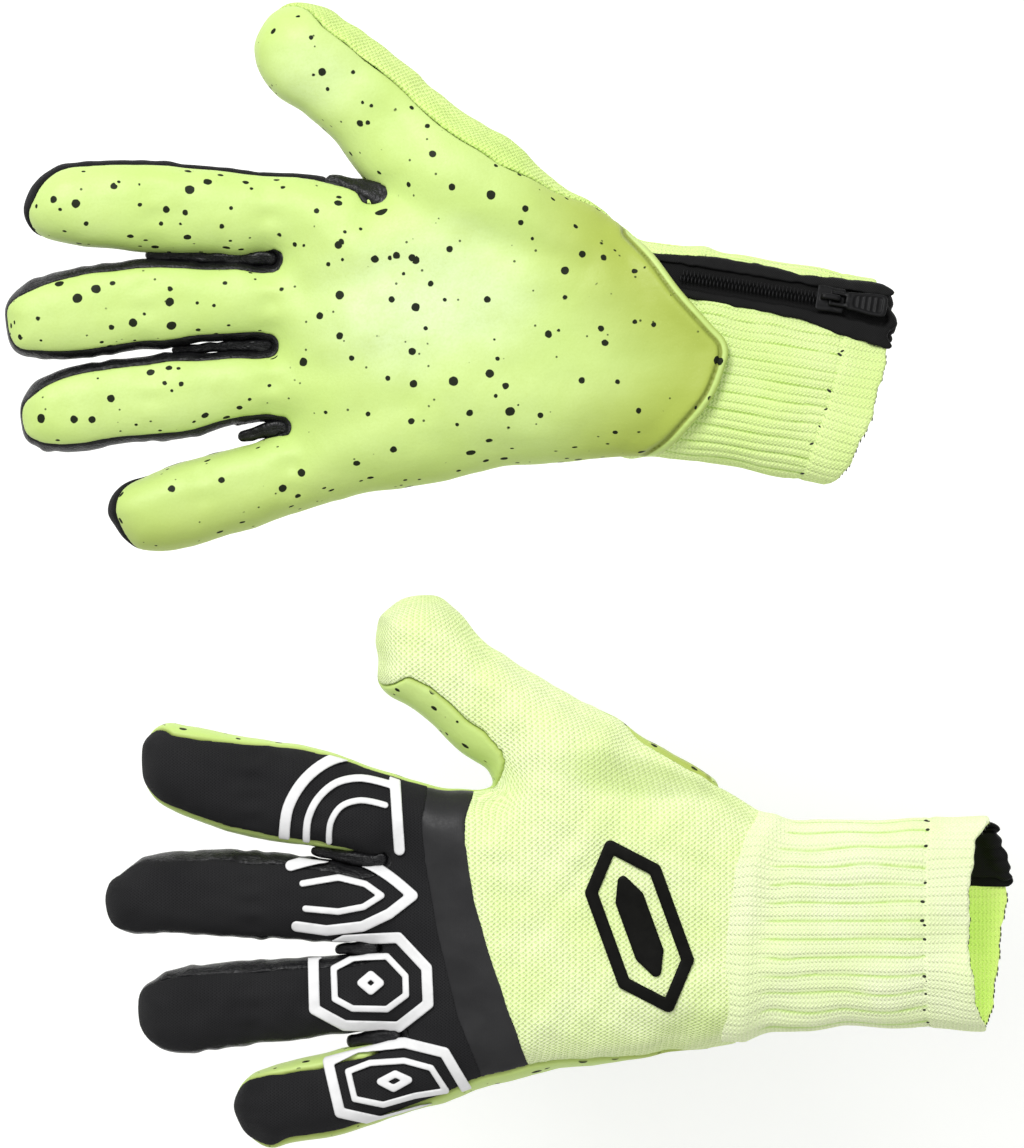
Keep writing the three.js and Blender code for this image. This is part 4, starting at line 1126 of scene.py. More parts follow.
def build_webs(form, share):
    side = form.side
    crumple = waves(301 + form.sign, 24, 5.5)
    # label, line, finger, length, half width, height and middle as shares of half thickness
    jobs = [(f"web_{i}", SLITS[side][i], finger, length, width, 0.50, -0.08)
            for i, finger, length, width in WEBS[side]]
    if side == "right":
        jobs.append(("web_thumb", THUMB_WEB, None, 18, 4.3, 0.58, 0.02))
    for label, line, finger, length, width, tall, middle in jobs:
        line = np.array(line, float)
        run = np.concatenate([[0], np.cumsum(np.hypot(*np.diff(line, axis=0).T))])
        stations = np.linspace(0, length, 12)
        centre = np.stack([np.interp(stations, run, line[:, k]) for k in (0, 1)], 1)
        low, high = centre.min(0) - width - 4, centre.max(0) + width + 4
        cut_x = slice(*np.searchsorted(form.xs, (low[0], high[0])))
        cut_y = slice(*np.searchsorted(form.ys, (low[1], high[1])))
        x, y = form.x[cut_x, cut_y], form.y[cut_x, cut_y]
        distance = plan_distance(centre, x, y)[0][:, :, None]
        local = share[cut_x, cut_y]
        half = form.plan["half"][cut_x, cut_y, None]
        taper = 1 - 0.35 * smoothstep((centre[0, 0] - x) / length)[:, :, None]
        noise = crumple(x, y)[:, :, None] * (0.7 + 0.3 * np.sin(local * 9 + x[:, :, None]))
        field = smax(distance - width * taper,
                     (np.abs(local - middle) - tall * taper) * half, 2.2) - 0.45 * noise
        grid = (form.xs[cut_x], form.ys[cut_y], form.zs, form.step)
        verts, quads = skin(field.astype(np.float32), grid, clean=False)[:2]
        zone = np.zeros(len(quads), int)
        if finger:
            beyond = verts[quads].mean(1)[:, 0] < HINGE[side][finger][0]
            zone[beyond] = 3 + 2 * FINGERS.index(finger)
        place_panel(form, label, verts, quads, GUSSET, zone)


# ------------------------------------------------------------------ padding
def inflate(verts, quads):
    """Blows a closed cloth up with a little pressure: its vertices in metres."""
    scene = bpy.context.scene
    now = scene.frame_current
    mesh = bpy.data.meshes.new("swell")
    mesh.from_pydata((verts / 1000).tolist(), [], quads.tolist())
    obj = bpy.data.objects.new("swell", mesh)
    scene.collection.objects.link(obj)
    cloth = obj.modifiers.new("cloth", "CLOTH")
    cloth.settings.quality = 5
    cloth.settings.use_pressure = True
    cloth.settings.uniform_pressure_force = 4.0
    cloth.settings.effector_weights.gravity = 0.0
    cloth.point_cache.frame_start, cloth.point_cache.frame_end = 1, 20
    for frame_number in range(1, 21):
        scene.frame_set(frame_number)
    evaluated = obj.evaluated_get(bpy.context.evaluated_depsgraph_get())
    places = np.empty(len(verts) * 3, np.float32)
    evaluated.to_mesh().vertices.foreach_get("co", places)
    evaluated.to_mesh_clear()
    bpy.data.objects.remove(obj)
    bpy.data.meshes.remove(mesh)
    scene.frame_set(now)
    return places.reshape(-1, 3)


def swell(form):
    """Inflates a coarse closed cloth of the whole hand. Where it stands out further or less
    than on average becomes a swelling or a dip of the palm and of the back."""
    step, cell = 3.4, 2.6      # of the cloth's field, and of the plan it is averaged on
    xs = np.arange(form.xs[0], form.xs[-1], step)
    ys = np.arange(form.ys[0], form.ys[-1], step)
    zs = np.arange(form.zs[0] - 2, form.zs[-1] + 2, step)
    field = form.field(xs, ys, zs, form.plan_at(xs, ys))[0] + 1.0
    border = np.ones(field.shape, bool)
    border[1:-1, 1:-1, 1:-1] = False
    field[border] = 2.0        # closes the cloth at the grid's sides
    origin = np.array([xs[0], ys[0], zs[0]])
    verts, quads = nets(field, origin, step)
    verts = relax(field, origin, step, verts, quads, 3)
    verts, quads = drop_specks(verts, quads)
    places = inflate(verts, quads)
    normals = normals_of(verts, quads)
    moved = np.clip(((places * 1000 - verts) * normals).sum(1), -9, 9)
    size = tuple(int((axis[-1] - axis[0]) / cell) + 3 for axis in (form.xs, form.ys))
    for key, sign, much in (("palm_dip", form.sign, 0.85), ("back_dip", -form.sign, 0.7)):
        weight = np.clip(normals[:, 2] * sign * 1.6 - 0.4, 0, 1)
        excess = moved - (moved * weight).sum() / weight.sum()
        i = ((verts[:, 0] - form.xs[0]) / cell + 0.5).astype(int)
        j = ((verts[:, 1] - form.ys[0]) / cell + 0.5).astype(int)
        total, count = np.zeros(size), np.zeros(size)
        np.add.at(total, (i, j), excess * weight)
        np.add.at(count, (i, j), weight)
        for blur in range(40):
            for axis in (0, 1):
                total, count = (
                    0.5 * grid + 0.25 * (np.roll(grid, 1, axis) + np.roll(grid, -1, axis))
                    for grid in (total, count))
            if blur == 2:
                near, here = total / (count + 0.05), count > 0.2
        # folds and pads, without most of the overall swelling
        relief = near - 0.75 * total / (count + 0.02)
        largest = max(np.percentile(np.abs(relief[here]), 90), 1e-3)
        relief = np.clip(relief * much / largest, -1.3, 1.1)
        off_wrist = 1 - smoothstep((form.plan["u"] + 28) / 22)
        form.plan[key] = form.plan[key] + off_wrist * bilinear(
            relief, (form.x - form.xs[0]) / cell, (form.y - form.ys[0]) / cell)


# ------------------------------------------------------------------ hand panels
def build_hand(side):
    form = Form(side)
    swell(form)
    surface, share, angle, radius = form.field(form.xs, form.ys, form.zs)
    plan = {key: value[:, :, None] for key, value in form.plan.items()}
    x = form.x[:, :, None]

    def past_seam(height):
        """Distance along the section from a seam, positive on its palm side."""
        height = np.clip(height, -0.985, 0.985)
        seam = np.arctan2(height, (1 - np.abs(height) ** POWER) ** (1 / POWER))
        return (angle - seam) * radius

    # latex palm with its wrapped edges; a stitched line runs inside the wrist flap's edge
    flap, web, front, rear = (plan[key] for key in ("flap", "web", "front", "rear"))
    groove = 2.0 * np.exp(-((flap - 2.95) / 0.55) ** 2) * smoothstep(share * 3 - 0.3)
    lip = ((0.8 * smoothstep((10.0 - flap) / 7) - 0.8 * smoothstep((2.7 - flap) / 0.8))
           * smoothstep(share * 2))
    past_palm, past_back = past_seam(plan["palm_seam"]), past_seam(plan["back_seam"])
    panel(form, "latex", surface + groove - lip, smax(-past_palm, -flap, 1.2), LATEX,
          thick=LATEX_THICK, corner=1.7, store_flap=True)
    # gussets, on the sides of the fingers that face each other
    wrinkle = (0.32 * waves(77, 26, 7.0)(form.x, form.y)[:, :, None]
               * (0.6 + 0.4 * np.sin(share * 5 + x * 0.35)))
    knuckle = knuckle_x(side, form.y)[:, :, None]
    region = np.maximum(np.maximum(past_palm, -past_back), x - (knuckle + 9))
    region = np.where(plan["palm_seam"] - plan["back_seam"] > 0.15, region, 3.0)
    panel(form, "gusset", surface - wrinkle, region, GUSSET, thick=2.6, corner=0.9,
          lift=-0.55, rim=-0.1)
    build_webs(form, share)
    # the back: fingers and knuckles, a smooth band, then knit to the cuff
    crumple = 0.22 * waves(55, 22, 9.0)(form.x, form.y)[:, :, None] * (x < knuckle)
    region = smax(past_back, smax(front, web, 1.0), 0.8)
    panel(form, "knuckle", surface - crumple, region, BLACK, thick=KNIT_THICK, corner=1.0)
    region = smax(past_back + 1.0, smax(smax(-front, rear, 0.5), web, 0.8), 0.6)
    panel(form, "band", surface, region, BAND, thick=1.9, corner=0.5, lift=-0.3, rim=-1.0)
    behind = smin(-rear, -web, 0.6)
    region = smax(past_back, smax(behind, plan["u"] - lookup(JOIN, plan["t"]) - 1.0, 1.0), 0.8)
    puff = (0.25 * waves(66, 20, 11.0)(form.x, form.y)[:, :, None]
            * (1 - smoothstep((plan["u"] + 12) / 8)))
    panel(form, "backknit", surface - puff, region, KNIT[side], thick=KNIT_THICK, corner=1.0)
    return form


# ------------------------------------------------------------------ cuff
def cuff_section(t, n):
    across = np.maximum(0, 1 - (CUFF_WIDE - np.abs(t)) / CUFF_ROUND)
    return rounded_section(across, np.abs(n) / CUFF_HALF, CUFF_ROUND, CUFF_HALF, 0.5)


def section_table():
    """Angle, arc length, t and n round the section, found by halving."""
    angle = np.linspace(-math.pi, math.pi, 2881)
    low, high = np.zeros_like(angle), np.full_like(angle, 60.0)
    for _ in range(44):
        middle = (low + high) / 2
        inside = cuff_section(middle * np.cos(angle), middle * np.sin(angle)) < 0
        low, high = np.where(inside, middle, low), np.where(inside, high, middle)
    t, n = low * np.cos(angle), low * np.sin(angle)
    arc = np.concatenate([[0], np.cumsum(np.hypot(np.diff(t), np.diff(n)))])
    return angle, arc, t, n


SECTION_ANGLE, SECTION_ARC, SECTION_T, SECTION_N = section_table()
RIBS = int(round(SECTION_ARC[-1] / RIB))
RIB_PITCH = SECTION_ARC[-1] / RIBS


def arc_at(t, n):
    return np.interp(np.arctan2(n, t), SECTION_ANGLE, SECTION_ARC)


def even_t(side, u, t):
    """Place across the cuff as if its half width were CUFF_WIDE everywhere."""
    high, low = (lookup(table, u) for table in WIDTH[side])
    return t * CUFF_WIDE / np.where(t > 0, high, low)


def rib_arc(side, u, t, n):
    return arc_at(even_t(side, np.maximum(u, RIB_FROM[side]), t), n)


def palm_share(n):
    """0 on the back of the cuff, 1 on its palm side."""
    return smoothstep(n / CUFF_HALF * 0.75 + 0.5)


def hem_u(side, t, n):
    return lookup(HEM[side], t) - 1.5 * (1 - palm_share(n))


def mouth_u(side, t, n):
    palm, back = (lookup(table, t) for table in MOUTH[side])
    arc = arc_at(t, n)
    return (back + (palm - back) * palm_share(n) + 0.35 * np.sin(arc * 0.33)
            + 0.18 * np.sin(arc * 1.02 + 1))


def cuff_outward(t, n):
    """Unit direction out of the section, as t and n."""
    past_flat = np.maximum(0, (np.abs(t) - (CUFF_WIDE - CUFF_ROUND)) / CUFF_ROUND)
    out_t = np.sign(t) * past_flat ** (POWER - 1) / CUFF_ROUND
    out_n = np.sign(n) * np.abs(n / CUFF_HALF) ** (POWER - 1) / CUFF_HALF
    length = np.maximum(np.hypot(out_t, out_n), 1e-9)
    return out_t / length, out_n / length


def rib_shape(side, arc):
    """0 in a groove between ribs, 1 on a rib. The right cuff's ribs show at half the pitch."""
    wide = np.abs(np.sin(np.pi * arc / RIB_PITCH))
    half = np.abs(np.sin(2 * np.pi * arc / RIB_PITCH))
    if side == "right":
        return np.minimum(wide * 1.6, 0.12 + 0.88 * half)
    return np.minimum(wide, 0.62 + 0.38 * half)


def cuff_world(form, points):
    """From the cuff's frame to the plan."""
    wrist = WRIST[form.side]
    x, y = (wrist[k] + points[:, 0] * form.cuff_u[k] + points[:, 1] * form.cuff_t[k]
            for k in (0, 1))
    return np.stack([x, y, CUFF_MIDDLE[form.side] + form.sign * points[:, 2]], 1)


def zip_world(form, points):
    """From the zip's frame (u along, across, out of the tape) to the plan."""
    u, across, out = points.T
    t = across * math.cos(ZIP_TILT) + out * math.sin(ZIP_TILT) + ZIP_ACROSS
    n = -across * math.sin(ZIP_TILT) + out * math.cos(ZIP_TILT) + ZIP_OUT
    return cuff_world(form, np.stack([u, t, n], 1))


def lay(form, name, verts, quads, finish, world=cuff_world, body="hand", tex=None, values=None):
    """Places a mesh made in the cuff's or zip's frame, whose faces turn on the left glove."""
    material, slot = finish
    placed = world(form, verts)
    if form.sign < 0:
        quads = quads[:, ::-1]
    obj = make(f"{form.side}_{name}", placed, np.ascontiguousarray(quads), material,
               verts if tex is None else tex, normals_of(placed, quads), values)
    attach(obj, f"{form.side}_{body}")
    return obj


def blob():
    """A small closed rounded lump of quads with unit radius."""
    steps = [math.tan(angle * math.pi / 4) for angle in np.linspace(-1, 1, 4)]
    points, faces, index = [], [], {}

    def corner(axis, face, i, j):
        point = [0, 0, 0]
        point[axis], point[(axis + 1) % 3], point[(axis + 2) % 3] = face, steps[i], steps[j]
        key = tuple(np.round(point, 4))
        if key not in index:
            index[key] = len(points)
            points.append(np.array(point) / np.linalg.norm(point))
        return index[key]

    for axis, face, i, j in product(range(3), (-1, 1), range(3), range(3)):
        quad = [corner(axis, face, i + a, j + b) for a, b in ((0, 0), (1, 0), (1, 1), (0, 1))]
        faces.append(quad if face > 0 else quad[::-1])
    return np.array(points), np.array(faces)


BLOB_VERTS, BLOB_FACES = blob()


def merge_blobs(clouds):
    faces = [BLOB_FACES + i * len(BLOB_VERTS) for i in range(len(clouds))]
    return np.concatenate(clouds), np.concatenate(faces)


def slack_of(form):
    return waves(91 + form.sign, 16, 22.0)


def mouth_flare(u):
    return 0.8 * smoothstep((u - 66) / 16)


def build_cuff(form):
    side = form.side
    us, ts = np.arange(-26, 94, CUFF_STEP), np.arange(-39.5, 39.5, CUFF_STEP)
    ns = np.arange(-18, 18, CUFF_STEP)
    u, t, n = np.ix_(us, ts, ns)
    arc = rib_arc(side, u, t, n)
    join, hem = lookup(JOIN, t), hem_u(side, t, n)
    folded = smoothstep((u - hem) / 1.5)
    rib_depth = 0.72 * (1 - 0.72 * folded) * smoothstep((u - join + 1.0) / 13.0)
    grooves = rib_depth * (1 - rib_shape(side, arc) ** 0.5)
    slack = 0.55 * slack_of(form)(u, t, n) * smoothstep((u - join - 2) / 12)
    gather = (0.75 * np.exp(-((u - join - 1.5) / 3.4) ** 2)
              - 0.5 * np.exp(-((u - join - 9.5) / 4.5) ** 2))
    pucker = ((0.75 * np.exp(-((u - hem) / 0.8) ** 2) + 0.3 * np.exp(-((u - hem + 2.4) / 1.6) ** 2))
              * (0.75 + 0.25 * np.sin(arc * 1.9)))
    fine = 0.5 + 0.5 * np.cos(np.pi * 8 * arc / RIB_PITCH)
    outer = (cuff_section(even_t(side, u, t), n) + grooves - slack + pucker - mouth_flare(u)
             - 0.14 - gather * smoothstep((u - join + 6) / 4) + 0.12 * folded * fine)
    inner = -(outer - grooves * 0.55 + CUFF_THICK)
    start = np.where(n > 3.0, -23.0 - u, join - 5.5 - u)
    zip_slit = -np.maximum(np.maximum(t - lookup(SLIT_HIGH, u), lookup(SLIT_LOW, u) - t), -n)
    field = smax(outer, inner, 0.5)
    field = smax(field, u - mouth_u(side, t, n), 1.1)
    field = smax(field, start, 1.6)
    field = smax(field, zip_slit, 0.9)
    verts, quads = skin(field, (us, ts, ns, CUFF_STEP))[:2]

    u, t, n = verts.T
    arc = rib_arc(side, u, t, n)
    folded = smoothstep((u - hem_u(side, t, n)) / 1.5)
    # rib is 1 on a rib and 0 in a groove; the cuff's colour paints shade into the grooves with it
    rib = 1 - ((1 - rib_shape(side, arc) ** 0.6) * smoothstep((u - lookup(JOIN, t) + 1) / 13)
               * (1 - 0.6 * folded))
    # faces that look into the cuff get their own material, whose glow is painted light
    centre = verts[quads].mean(1)
    facing = normals_of(verts, quads)[quads].mean(1)
    out_t, out_n = cuff_outward(even_t(side, centre[:, 0], centre[:, 1]), centre[:, 2])
    inside = facing[:, 1] * out_t + facing[:, 2] * out_n < -0.12
    obj = lay(form, "cuff", verts, quads, CUFF[side], tex=np.stack([u, arc, n], 1),
              values={"rib": rib})
    obj.data.materials.append(CUFF_INSIDE)
    obj.data.polygons.foreach_set("material_index", inside.astype(np.int32))
    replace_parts(obj, side + "_cuff_knit")


def stitch_seat(form, slack, u, t, n, lift):
    """A point off the cuff's outside by `lift`, and the directions out of it and round it."""
    out = np.array([0, *cuff_outward(t, n)])
    width = lookup(WIDTH[form.side][0 if t > 0 else 1], u)
    point = np.array([u, t * width / CUFF_WIDE, n]) + out * (0.55 * slack(u, t, n) + lift)
    return point, out, np.array([0, -out[2], out[1]])


def build_hem_stitches(form):
    """One or two short stitches in most of the grooves between ribs."""
    side, slack = form.side, slack_of(form)
    lean_by = 0.5 if side == "right" else 0.15
    length, width = (1.15, 0.5) if side == "right" else (0.85, 0.55)
    clouds = []
    for i in range(RIBS):
        t, n = (np.interp(i * RIB_PITCH, SECTION_ARC, place) for place in (SECTION_T, SECTION_N))
        if (n > 0 and 11.5 < t < 35.0) or (i * 7919) % 5 == 0:
            continue
        seat, out, around = stitch_seat(form, slack, hem_u(side, t, n), t, n, -0.80)
        seat = seat + np.array([0.7 * math.sin(i * 2.3), 0, 0])
        for k in range(1 + (i % 3 == 1)):
            lean = lean_by * (1 if (i + k) % 2 else -1)
            forward = np.array([1, 0, 0])
            along = forward * math.cos(lean) + around * math.sin(lean)
            across = around * math.cos(lean) - forward * math.sin(lean)
            cloud = BLOB_VERTS @ np.array([along * length, across * width, out * 0.6])
            clouds.append(cloud + seat - around * 1.5 * k + forward * 0.9 * k)
    lay(form, "hem_stitches", *merge_blobs(clouds), THREAD)


def build_mouth_thread(form):
    """Overlock thread round the inner rim of the mouth."""
    slack = slack_of(form)
    clouds = []
    for i, arc in enumerate(np.arange(0, SECTION_ARC[-1], 1.9)):
        t, n = (np.interp(arc, SECTION_ARC, place) for place in (SECTION_T, SECTION_N))
        if (n > 0 and 10.5 < t < 36.0) or i % 7 == 3:
            continue
        u = mouth_u(form.side, t, n)
        lift = mouth_flare(u) + 0.1 - CUFF_THICK * 0.80
        seat, out, around = stitch_seat(form, slack, u, t, n, lift)
        cloud = BLOB_VERTS @ np.array([[0.24, 0, 0], around * 0.8, out * 0.26])
        clouds.append(cloud + seat - np.array([0.10, 0, 0]))
    lay(form, "mouth_thread", *merge_blobs(clouds), THREAD)


# ------------------------------------------------------------------ zip
def box_field(place, centre, half, rounding):
    """A rounded box."""
    x, y, z = (np.abs(place[k] - centre[k]) - half[k] + rounding for k in range(3))
    outside = np.sqrt(sum(np.maximum(d, 0) ** 2 for d in (x, y, z)))
    return outside + np.minimum(np.maximum(np.maximum(x, y), z), 0) - rounding


def round_corner(first, second, radius):
    """The intersection of two half-planes with a rounded corner."""
    return (np.hypot(np.maximum(first + radius, 0), np.maximum(second + radius, 0)) - radius
            + np.minimum(np.maximum(first + radius, second + radius), 0))


def build_tapes(form):
    """The tapes, the raised strips beside the teeth and the guard, all cut from one grid."""
    side = form.side
    us, ts = np.arange(-14, 92, TAPE_STEP), np.arange(10, 39.5, TAPE_STEP)
    ns = np.arange(-4, 18, TAPE_STEP)
    grid = (us, ts, ns, TAPE_STEP)
    u, t, n = np.ix_(us, ts, ns)
    section = cuff_section(even_t(side, u, t), n)
    mouth = lookup(MOUTH[side][0], t)
    end = (mouth + 0.9 + 2.1 * smoothstep((t - 15.5) / 5.5)
           + 1.2 * np.sin(t * 0.62 + 0.6 * form.sign) - 1.8 * smoothstep((t - 30.8) / 3))
    crumple = waves(123 + form.sign, 18, 6.0)
    loose = smoothstep((u - 52) / 22)
    noise = ((0.12 + 0.5 * loose) * crumple(u * 0.8, t * 0.5)
             + 0.3 * waves(133 + form.sign, 14, 17.0)(u, t))
    noise = noise * (1 - 0.8 * smoothstep((u - end + 5) / 4))

    # tapes, with a bead along their end
    bead = (np.sqrt((u - end + 1.9) ** 2 + (section + 0.9) ** 2)
            - (1.7 + 0.35 * np.sin(t * 1.0 + 1.0)))
    bead = smax(bead, np.maximum(t - 32.4, 15.6 - t), 2.6)
    tape = np.maximum(section + 1.1 - 0.3 * noise, -(section + 2.1 - 0.3 * noise))
    edge = np.maximum(t - 34.6 + 3.0 * smoothstep((u - 58) / 10), lookup(TAPE_LOW, u) - t)
    tape = smin(smax(tape, round_corner(u - end, edge, 2.2), 0.5), bead, 1.0)
    tape = smax(np.maximum(tape, -10 - u), 2.0 - n, 0.8)
    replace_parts(lay(form, "tapes", *skin(tape, grid)[:2], TAPE), side + "_zip_tape")

    # raised smooth strips, loose and folded near the mouth
    for name, strip in PIPING_EDGES.items():
        stand = strip["stand"] + strip["loose_stand"] * loose
        tail = strip["tail"] * np.exp(-((t - strip["tail_at"]) / 2.2) ** 2)
        field = smax(section - stand - noise * 0.8, -(section + strip["thick"] - 0.2 * noise), 0.3)
        rim = np.maximum(t - lookup(strip["high"], u), lookup(strip["low"], u) - t)
        rim = rim - 0.2 * crumple(u * 1.2, t * 0.2)
        field = smax(field, round_corner(u - end - tail, rim, 2.0), 1.1)
        field = np.maximum(smax(field, -9 - u, 0.5), 2.0 - n)
        lay(form, name, *skin(field, grid)[:2], PIPING)

    # guard: a soft tongue bunched behind the teeth at the mouth
    radius = 2.2 + 0.2 * crumple(u * 0.7, t * 0.7)
    field = np.minimum.reduce([
        np.sqrt(((u - mouth - 0.4 + k * 0.35) / 1.35) ** 2 + (t - lump_t) ** 2 + (n - lump_n) ** 2)
        - radius - extra for k, (lump_t, lump_n, extra) in enumerate(GUARD_LUMPS)])
    sheet = smax(np.maximum(t - 30.5, 15.5 - t), np.maximum(50 - u, u - end), 0.8)
    field = smin(field, smax(np.abs(section + 3.0) - 0.9, sheet, 0.5), 1.6)
    field = smax(np.maximum(field, 2.0 - n), section - 0.5, 0.8)
    lay(form, "zip_guard", *skin(field, grid)[:2], PIPING)


def build_teeth(form):
    """Two rows of small rounded lugs that mesh along the middle."""
    clouds = []
    for i in range(int(CHAIN_LENGTH / TOOTH_PITCH)):
        for row in (-1, 1):
            u = CHAIN_START + i * TOOTH_PITCH + (TOOTH_PITCH / 2 if row > 0 else 0)
            clouds.append(BLOB_VERTS * np.array([0.42, 1.35, 0.62])
                          + np.array([u, row * 0.95, 0.55]))
    obj = lay(form, "teeth", *merge_blobs(clouds), PLASTIC, world=zip_world)
    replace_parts(obj, form.side + "_zip_chain")


def metal_grid(*ranges):
    """A grid in the zip's frame, and its open coordinates."""
    axes = [np.arange(low, high, METAL_STEP) for low, high in ranges]
    return (*axes, METAL_STEP), np.ix_(*axes)


def build_stops(form):
    grid, (x, y, z) = metal_grid((69, 76), (-4, 4), (-2, 3.5))
    field = box_field((x, np.abs(y), z), (72.2, 1.9, 0.7), (1.1, 1.1, 1.0), 0.4)
    lay(form, "zip_stops", *skin(field, grid, rounds=1)[:2], PLASTIC, world=zip_world)


def build_slider(form):
    """Shield-shaped top plate, flanges round the chain, and a bridge."""
    grid, (x, y, z) = metal_grid((48, 62), (-6, 6), (-2, 8))
    x = x - 55
    waist = 4.35 - 0.9 * np.exp(-((x - 1.2) / 1.7) ** 2) - 0.5 * smoothstep((x - 2) / 3)
    plate = smax(smax(np.abs(y) - waist, np.abs(x) - 4.75, 1.2),
                 np.abs(z - 1.62) - 0.43 + 0.006 * y ** 2, 0.4)
    flanges = box_field((x, np.abs(y), z), (0, 3.55, 1.3), (4.5, 0.7, 0.45), 0.35)
    bridge = smax(np.abs(y) - 0.95, smax(np.abs(x) - 3.4, np.abs(z - 3.2) - 1.55, 1.5), 0.6)
    hole = np.sqrt(np.maximum(np.abs(x) - 0.7, 0) ** 2 + (z - 2.95) ** 2) - 0.98
    field = smin(smin(plate, flanges, 0.7), smax(bridge, -hole, 0.4), 0.5)
    obj = lay(form, "slider", *skin(field, grid)[:2], PLASTIC, world=zip_world, body="slider")
    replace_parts(obj, form.side + "_zip_slider")


def build_pull(form):
    """A bail that turns in the bridge, and a waisted tab with a recessed, ridged grip."""
    grid, (x, y, z) = metal_grid((52, 77), (-5.5, 5.5), (1.5, 6.5))
    z = z - 2.95
    pin = smax(np.sqrt((x - 55) ** 2 + z ** 2) - 0.55, np.abs(y) - 2.4, 0.2)
    arms = smax(smax(np.abs(np.abs(y) - 1.95) - 0.6, np.abs(z) - 0.6, 0.4),
                np.abs(x - 57.8) - 3.2, 0.3)
    wide = 3.15 + 0.75 * smoothstep((x - 62) / 8) - 0.5 * smoothstep((61.5 - x) / 2)
    tab = smax(smax(np.abs(y) - wide, np.abs(x - 67) - 7.0, 2.2), np.abs(z) - 0.72, 0.55)
    recess = smax(smax(np.abs(y) - wide + 1.15, np.abs(x - 67.6) - 4.9, 1.4),
                  0.38 - np.abs(z), 0.25)
    ridges = np.minimum.reduce([smax(np.abs(x - centre) - 0.42, np.abs(y) - wide + 1.3, 0.3)
                                for centre in (64.4, 66.4, 68.4, 70.4)])
    tab = smin(smax(tab, -recess, 0.3), smax(ridges, np.abs(z) - 0.62, 0.3), 0.25)
    field = smin(smin(pin, arms, 0.4), tab, 0.6)
    obj = lay(form, "pull", *skin(field, grid)[:2], PLASTIC, world=zip_world, body="pull")
    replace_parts(obj, form.side + "_zip_pull")


# ------------------------------------------------------------------ raised marks on the back
def ring(points):
    return list(points) + [points[0]]


def bent(points, steps=5):
    return curve(points, steps, False)


# strokes of the finger prints, on the left glove: x and y points, stroke width
PRINTS = {
    "index": [
        (bent([(-39.5, -63.2), (-50, -60.6), (-60, -62), (-69, -68.4), (-74.8, -78),
               (-76.2, -88)]), 3.7),
        (bent([(-41, -70.3), (-50.5, -68.2), (-58.8, -69.8), (-65, -75.2), (-68.2, -82),
               (-68.8, -89)]), 2.5),
        (bent([(-42.3, -77.2), (-50.5, -75.6), (-57, -77.6), (-60.6, -83), (-61.2, -89.6)]), 2.1),
        ([(-39.5, -63.2), (-37.6, -92.2)], 3.7),
    ],
    "middle": [
        (bent([(-74, -97.5), (-62, -94.8), (-50, -96.2), (-41, -101), (-33.2, -107.4)], 4), 3.6),
        ([(-33.2, -107.4), (-41, -113.5), (-50, -117.8), (-62, -119.2), (-72, -117.8)], 3.6),
        ([(-70, -103.4), (-58, -101.4), (-49, -103.6), (-43.6, -107.4), (-49.6, -111.2),
          (-58, -112.8), (-69, -111.8)], 2.2),
    ],
    "ring": [
        (ring([(-66.5, -128), (-56, -122.5), (-38, -121.5), (-28.5, -131.5), (-28, -143.5),
               (-38, -151.5), (-56, -151), (-66, -145.5)]), 3.7),
        (ring([(-59.6, -131.8), (-53, -128.4), (-41.8, -127.8), (-35.6, -134.2), (-35.4, -140.6),
               (-41.8, -145.4), (-53.2, -145.2), (-59.2, -142)]), 2.2),
        (ring([(-50.4, -136.6), (-47.2, -133.9), (-44, -136.6), (-47.2, -139.3)]), 2.6),
    ],
    "little": [
        (ring([(-61.5, -163), (-52, -158.4), (-36, -156.7), (-22.5, -159.7), (-12.8, -176.5),
               (-30.5, -179.5), (-44, -183.2), (-57.5, -180)]), 3.6),
        (ring([(-54.8, -166.2), (-47.5, -163.4), (-36, -162.6), (-27, -164.9), (-22, -172.7),
               (-32.5, -174.4), (-43, -177.4), (-52.6, -175.4)]), 2.1),
        (ring([(-44, -169.6), (-39, -167), (-34.5, -169), (-39.6, -171.9)]), 2.4),
    ],
}
# strokes of the emblem about its centre: places along and across it, stroke width
EMBLEM_TURN = 110
EMBLEM = [
    (ring([(28.3, 0), (16, 11.3), (-16, 11.3), (-28.3, 0), (-16, -11.3), (16, -11.3)]), 4.4),
    (ring([(16, 0), (9.6, 3.1), (-9.6, 3.1), (-16, 0), (-9.6, -3.1), (9.6, -3.1)]), 3.8),
    ([(-14, 0), (14, 0)], 4.4),
]


def raised_mark(form, label, lines, finish, lift, corner, rigid=False):
    """A raised moulding that follows the back: plan strokes pressed onto the surface."""
    points = np.concatenate([line for line, _ in lines])
    low, high = points.min(0) - 4, points.max(0) + 4
    xs, ys = (np.arange(low[k], high[k], PRINT_STEP) for k in (0, 1))
    plan = form.plan_at(xs, ys)
    middle = plan["middle"]
    if form.sign < 0:
        zs = np.arange(np.min(middle) + 1, np.max(middle + plan["half"]) + 3, PRINT_STEP)
    else:
        zs = np.arange(-4.0, np.max(middle) - 1, PRINT_STEP)
    surface, share = form.field(xs, ys, zs, plan)[:2]
    x, y = np.meshgrid(xs, ys, indexing="ij")
    strokes = np.minimum.reduce([plan_distance(line, x, y)[0] - width / 2
                                 for line, width in lines])
    region = np.maximum(strokes[:, :, None], share + 0.12)
    region = np.maximum(region, 0.9 - plan["depth"][:, :, None])
    return panel(form, label, surface, region, finish, thick=0.35, corner=corner,
                 grid=(xs, ys, zs, PRINT_STEP), lift=lift, rim=0.0, blunt=0.25, rounds=2,
                 rigid=rigid)


